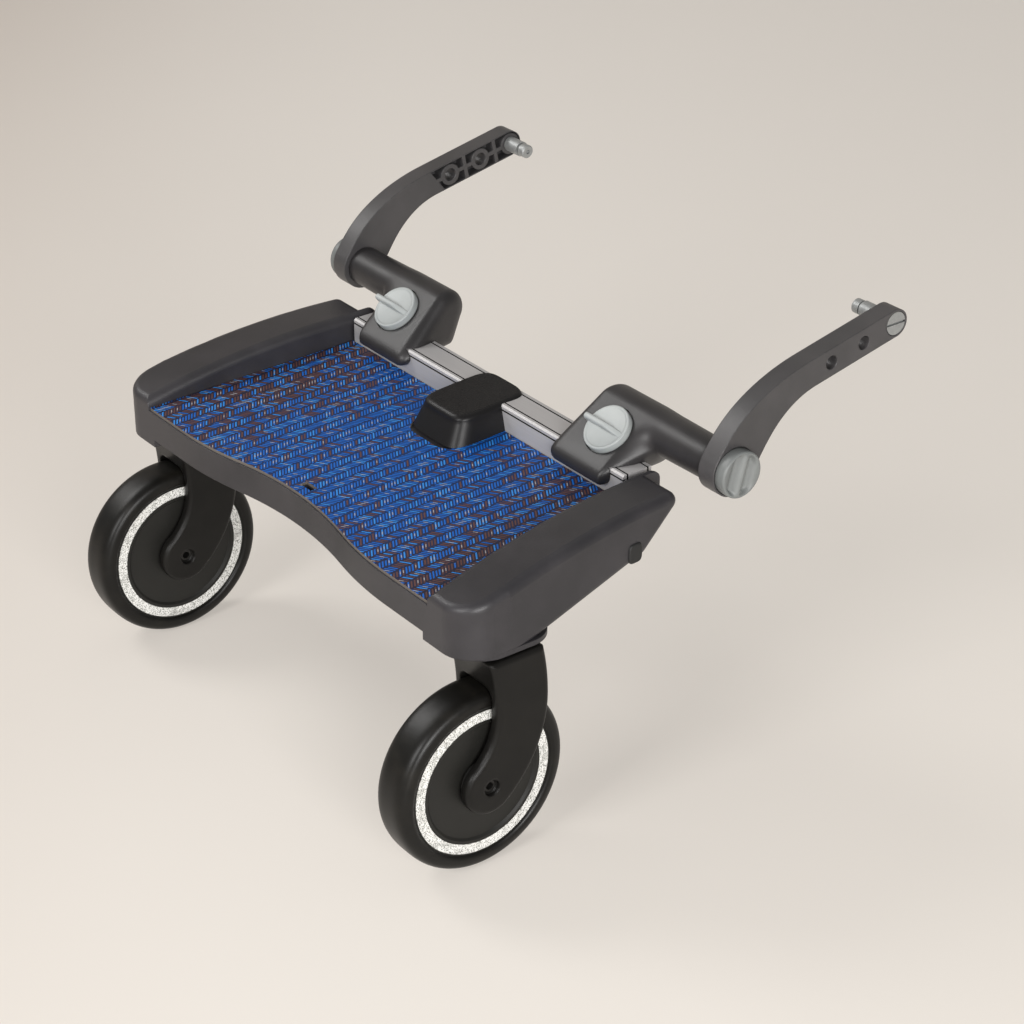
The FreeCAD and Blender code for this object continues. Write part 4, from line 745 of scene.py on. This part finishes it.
def slim(points):
    """Draws the strap's edges in. Within a kept distance of the centre line nothing moves; beyond it the
    distance is scaled by a share that grows from the straight part to 1 at the boss. The distance is
    measured round the pin at the tip, across the straight part, and from the bend's centre in the bend."""
    flat = points[:, 1:]
    back = ARM_ROOT - ARM_KNEE
    bend = back @ back / (-2 * back @ ARM_UP)
    centre = ARM_KNEE - bend * ARM_UP
    from_pin = flat - ARM_PIN
    from_centre = flat - centre
    beyond = from_pin @ ARM_RUN > 0
    bent = (flat - ARM_KNEE) @ ARM_RUN < 0
    pin_reach = np.linalg.norm(from_pin, axis=1)
    bend_reach = np.linalg.norm(from_centre, axis=1)
    off = np.where(beyond, pin_reach, np.where(bent, bend_reach - bend, from_pin @ ARM_UP))
    way = np.where(beyond[:, None], from_pin / np.maximum(pin_reach, 1e-9)[:, None],
                   np.where(bent[:, None], from_centre / bend_reach[:, None], ARM_UP))
    turned = np.arctan2(-(from_centre @ ARM_RUN), from_centre @ ARM_UP)
    whole = np.arctan2(-((ARM_ROOT - centre) @ ARM_RUN), (ARM_ROOT - centre) @ ARM_UP)
    part = np.clip(turned / (ARM_BLEND * whole), 0, 1)
    share = np.where(bent, ARM_SHARE + (1 - ARM_SHARE) * s_curve(part), ARM_SHARE)
    excess = np.maximum(np.abs(off) - ARM_KEPT, 0) * np.sign(off)
    moved = points.copy()
    moved[:, 1:] -= way * (excess * (1 - share))[:, None]
    return moved


# A lighter copy of the charcoal plastic: the extra lightness is painted light from the lamp on the right.
arm_plastic_lit_copy = moulded("arm_plastic_lit_copy", rgb(60, 59, 60), rgb(73, 71, 72), 0.38, 1900.0, 0.16, 0.0012)
for side in SIDES:
    solid = nodes["arm_" + side]
    spots = np.empty(3 * len(solid.data.vertices))
    solid.data.vertices.foreach_get("co", spots)
    corners = np.empty(len(solid.data.loops), dtype=int)
    solid.data.loops.foreach_get("vertex_index", corners)
    into = np.array(solid.matrix_world)
    spots = spots.reshape(-1, 3) @ into[:3, :3].T + into[:3, 3]
    arm_mesh = bpy.data.meshes.new("arm_strap_" + side)
    arm_mesh.from_pydata(slim(spots).tolist(), [], corners.reshape(-1, 3).tolist())
    arm = bpy.data.objects.new("arm_strap_" + side, arm_mesh)
    bpy.context.scene.collection.objects.link(arm)
    close(arm)
    arm_mesh.shade_smooth()
    arm_mesh.set_sharp_from_angle(angle=math.radians(30.0))
    arm_mesh.materials.append(arm_plastic_lit_copy.material)
    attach(arm, "arm_" + side)
    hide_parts("arm_" + side)
EVEN_MOTTLE = (500.0, 500.0, 500.0)
zinc = metal("dull_zinc", rgb(142, 144, 144), rgb(176, 178, 177), 0.42, EVEN_MOTTLE, 0.6)
dress(zinc, *both("coupling_pin"), *both("pin_screw"))


# Backdrop: one pale sheet of paper that runs back under the board and curves up behind it,
# square to the camera, with painted shade that darkens it a little towards the left.
CAMERA_PLACE = Vector((1.2430, -0.90735, 0.9619))
CAMERA_AIM = Vector((-0.6993, 0.5308, -0.4787))
AHEAD = np.array([CAMERA_AIM.x, CAMERA_AIM.y]) / math.hypot(CAMERA_AIM.x, CAMERA_AIM.y)
ASIDE = np.array([AHEAD[1], -AHEAD[0]])
PAPER_NEAR = -5.0
PAPER_BACK = 2.2
PAPER_RISE = 1.2
PAPER_TOP = 4.0
PAPER_HALF = 4.0
GLOW_SHARE = 0.45


def sweep(count=40):
    """Floor, a quarter-round bend and a wall as one profile, carried straight across, and turned to
    face the camera."""
    bend = np.linspace(0.0, math.pi / 2, count)
    depth = np.concatenate([[PAPER_NEAR], PAPER_BACK + PAPER_RISE * np.sin(bend), [PAPER_BACK + PAPER_RISE]])
    height = np.concatenate([[0.0], PAPER_RISE * (1 - np.cos(bend)), [PAPER_TOP]])
    edges = np.array([-PAPER_HALF, PAPER_HALF])
    plan = depth[:, None, None] * AHEAD + edges[None, :, None] * ASIDE
    points = np.concatenate([plan, np.broadcast_to(height[:, None, None], (len(depth), 2, 1))], axis=2)
    return points.reshape(-1, 3), len(depth)


points, rows = sweep()
first = np.arange(rows - 1) * 2
paper_mesh = bpy.data.meshes.new("paper")
paper_mesh.from_pydata(points.tolist(), [],
                       np.stack([first, first + 1, first + 3, first + 2], axis=1).tolist())
paper_mesh.shade_smooth()
paper = bpy.data.objects.new("paper", paper_mesh)
bpy.context.scene.collection.objects.link(paper)
paper_finish = Finish("backdrop_paper", Roughness=0.9)
paper_x, paper_y, _ = paper_finish.axes()
# Painted shade: the paper's colour and its glow both darken towards the left.
painted_left_shade = (0.0 - (paper_x * float(ASIDE[0]) + paper_y * float(ASIDE[1]))).step(0.05, 0.95)
sheet_tone = paper_finish.mix(paper_finish.noise(3.0, 4.0), rgb(228, 222, 214), rgb(233, 227, 219))
paper_finish.set(Base_Color=paper_finish.mix(painted_left_shade, sheet_tone, rgb(196, 185, 174)))
glow_tone = paper_finish.mix(painted_left_shade, rgb(236, 229, 221), rgb(206, 195, 185))
glow = paper_finish.node("Emission", None, glow_tone, 1.0)
light_path = paper_finish.node("LightPath").out.node
camera_ray, glossy_ray, through_ray = [Tone(paper_finish, light_path.outputs[name]) for name in
                                       ("Is Camera Ray", "Is Glossy Ray", "Is Transmission Ray")]
seen = camera_ray + glossy_ray + through_ray
lit_paper = Tone(paper_finish, paper_finish.shader.outputs[0])
shown = paper_finish.node("MixShader", None, seen * GLOW_SHARE, lit_paper, glow)
paper_finish.tree.links.new(shown.out, paper_finish.tree.nodes["Material Output"].inputs[0])
paper_mesh.materials.append(paper_finish.material)


# Lamps and camera: four soft lamps in a dim pale room, the strongest from the right, and the
# camera at the photograph's place with its angle of view.
def lamp(name, place, aim, size, power, tint):
    """A square soft lamp of a size in metres and a power in watts, turned towards its aim."""
    light = bpy.data.lights.new(name, "AREA")
    light.size = size
    light.energy = power
    light.color = tint
    made = bpy.data.objects.new(name, light)
    made.location = place
    made.rotation_euler = (Vector(aim) - Vector(place)).to_track_quat("-Z", "Y").to_euler()
    bpy.context.scene.collection.objects.link(made)


WARM_WHITE = (1.0, 0.99, 0.98)
lamp("key", (-1.45, -0.85, 1.55), (0.0, 0.0, 0.15), 0.8, 17.0, (1.0, 0.99, 0.975))
lamp("top", (-0.2, 0.6, 2.0), (0.0, 0.0, 0.15), 1.5, 1.5, WARM_WHITE)
lamp("front", (0.5, -1.8, 1.05), (0.0, 0.0, 0.12), 0.7, 20.0, WARM_WHITE)
lamp("side", (2.0, -0.8, 0.75), (0.0, -0.05, 0.12), 0.9, 38.0, WARM_WHITE)
ROOM_TONE = (0.92, 0.90, 0.87, 1.0)
ROOM_LIGHT = 0.30
world = bpy.data.worlds.new("room")
world.use_nodes = True
world.node_tree.nodes["Background"].inputs[0].default_value = ROOM_TONE
world.node_tree.nodes["Background"].inputs[1].default_value = ROOM_LIGHT
scene = bpy.context.scene
scene.world = world
scene.view_settings.view_transform = "Standard"
VIEW_ANGLE = math.radians(22.43)
lens = bpy.data.cameras.new("camera")
lens.sensor_width = 36.0
lens.lens = lens.sensor_width / 2 / math.tan(VIEW_ANGLE / 2)
lens.clip_end = 50.0
camera = bpy.data.objects.new("camera", lens)
camera.location = CAMERA_PLACE
camera.rotation_euler = CAMERA_AIM.to_track_quat("-Z", "Y").to_euler()
scene.collection.objects.link(camera)
scene.camera = camera
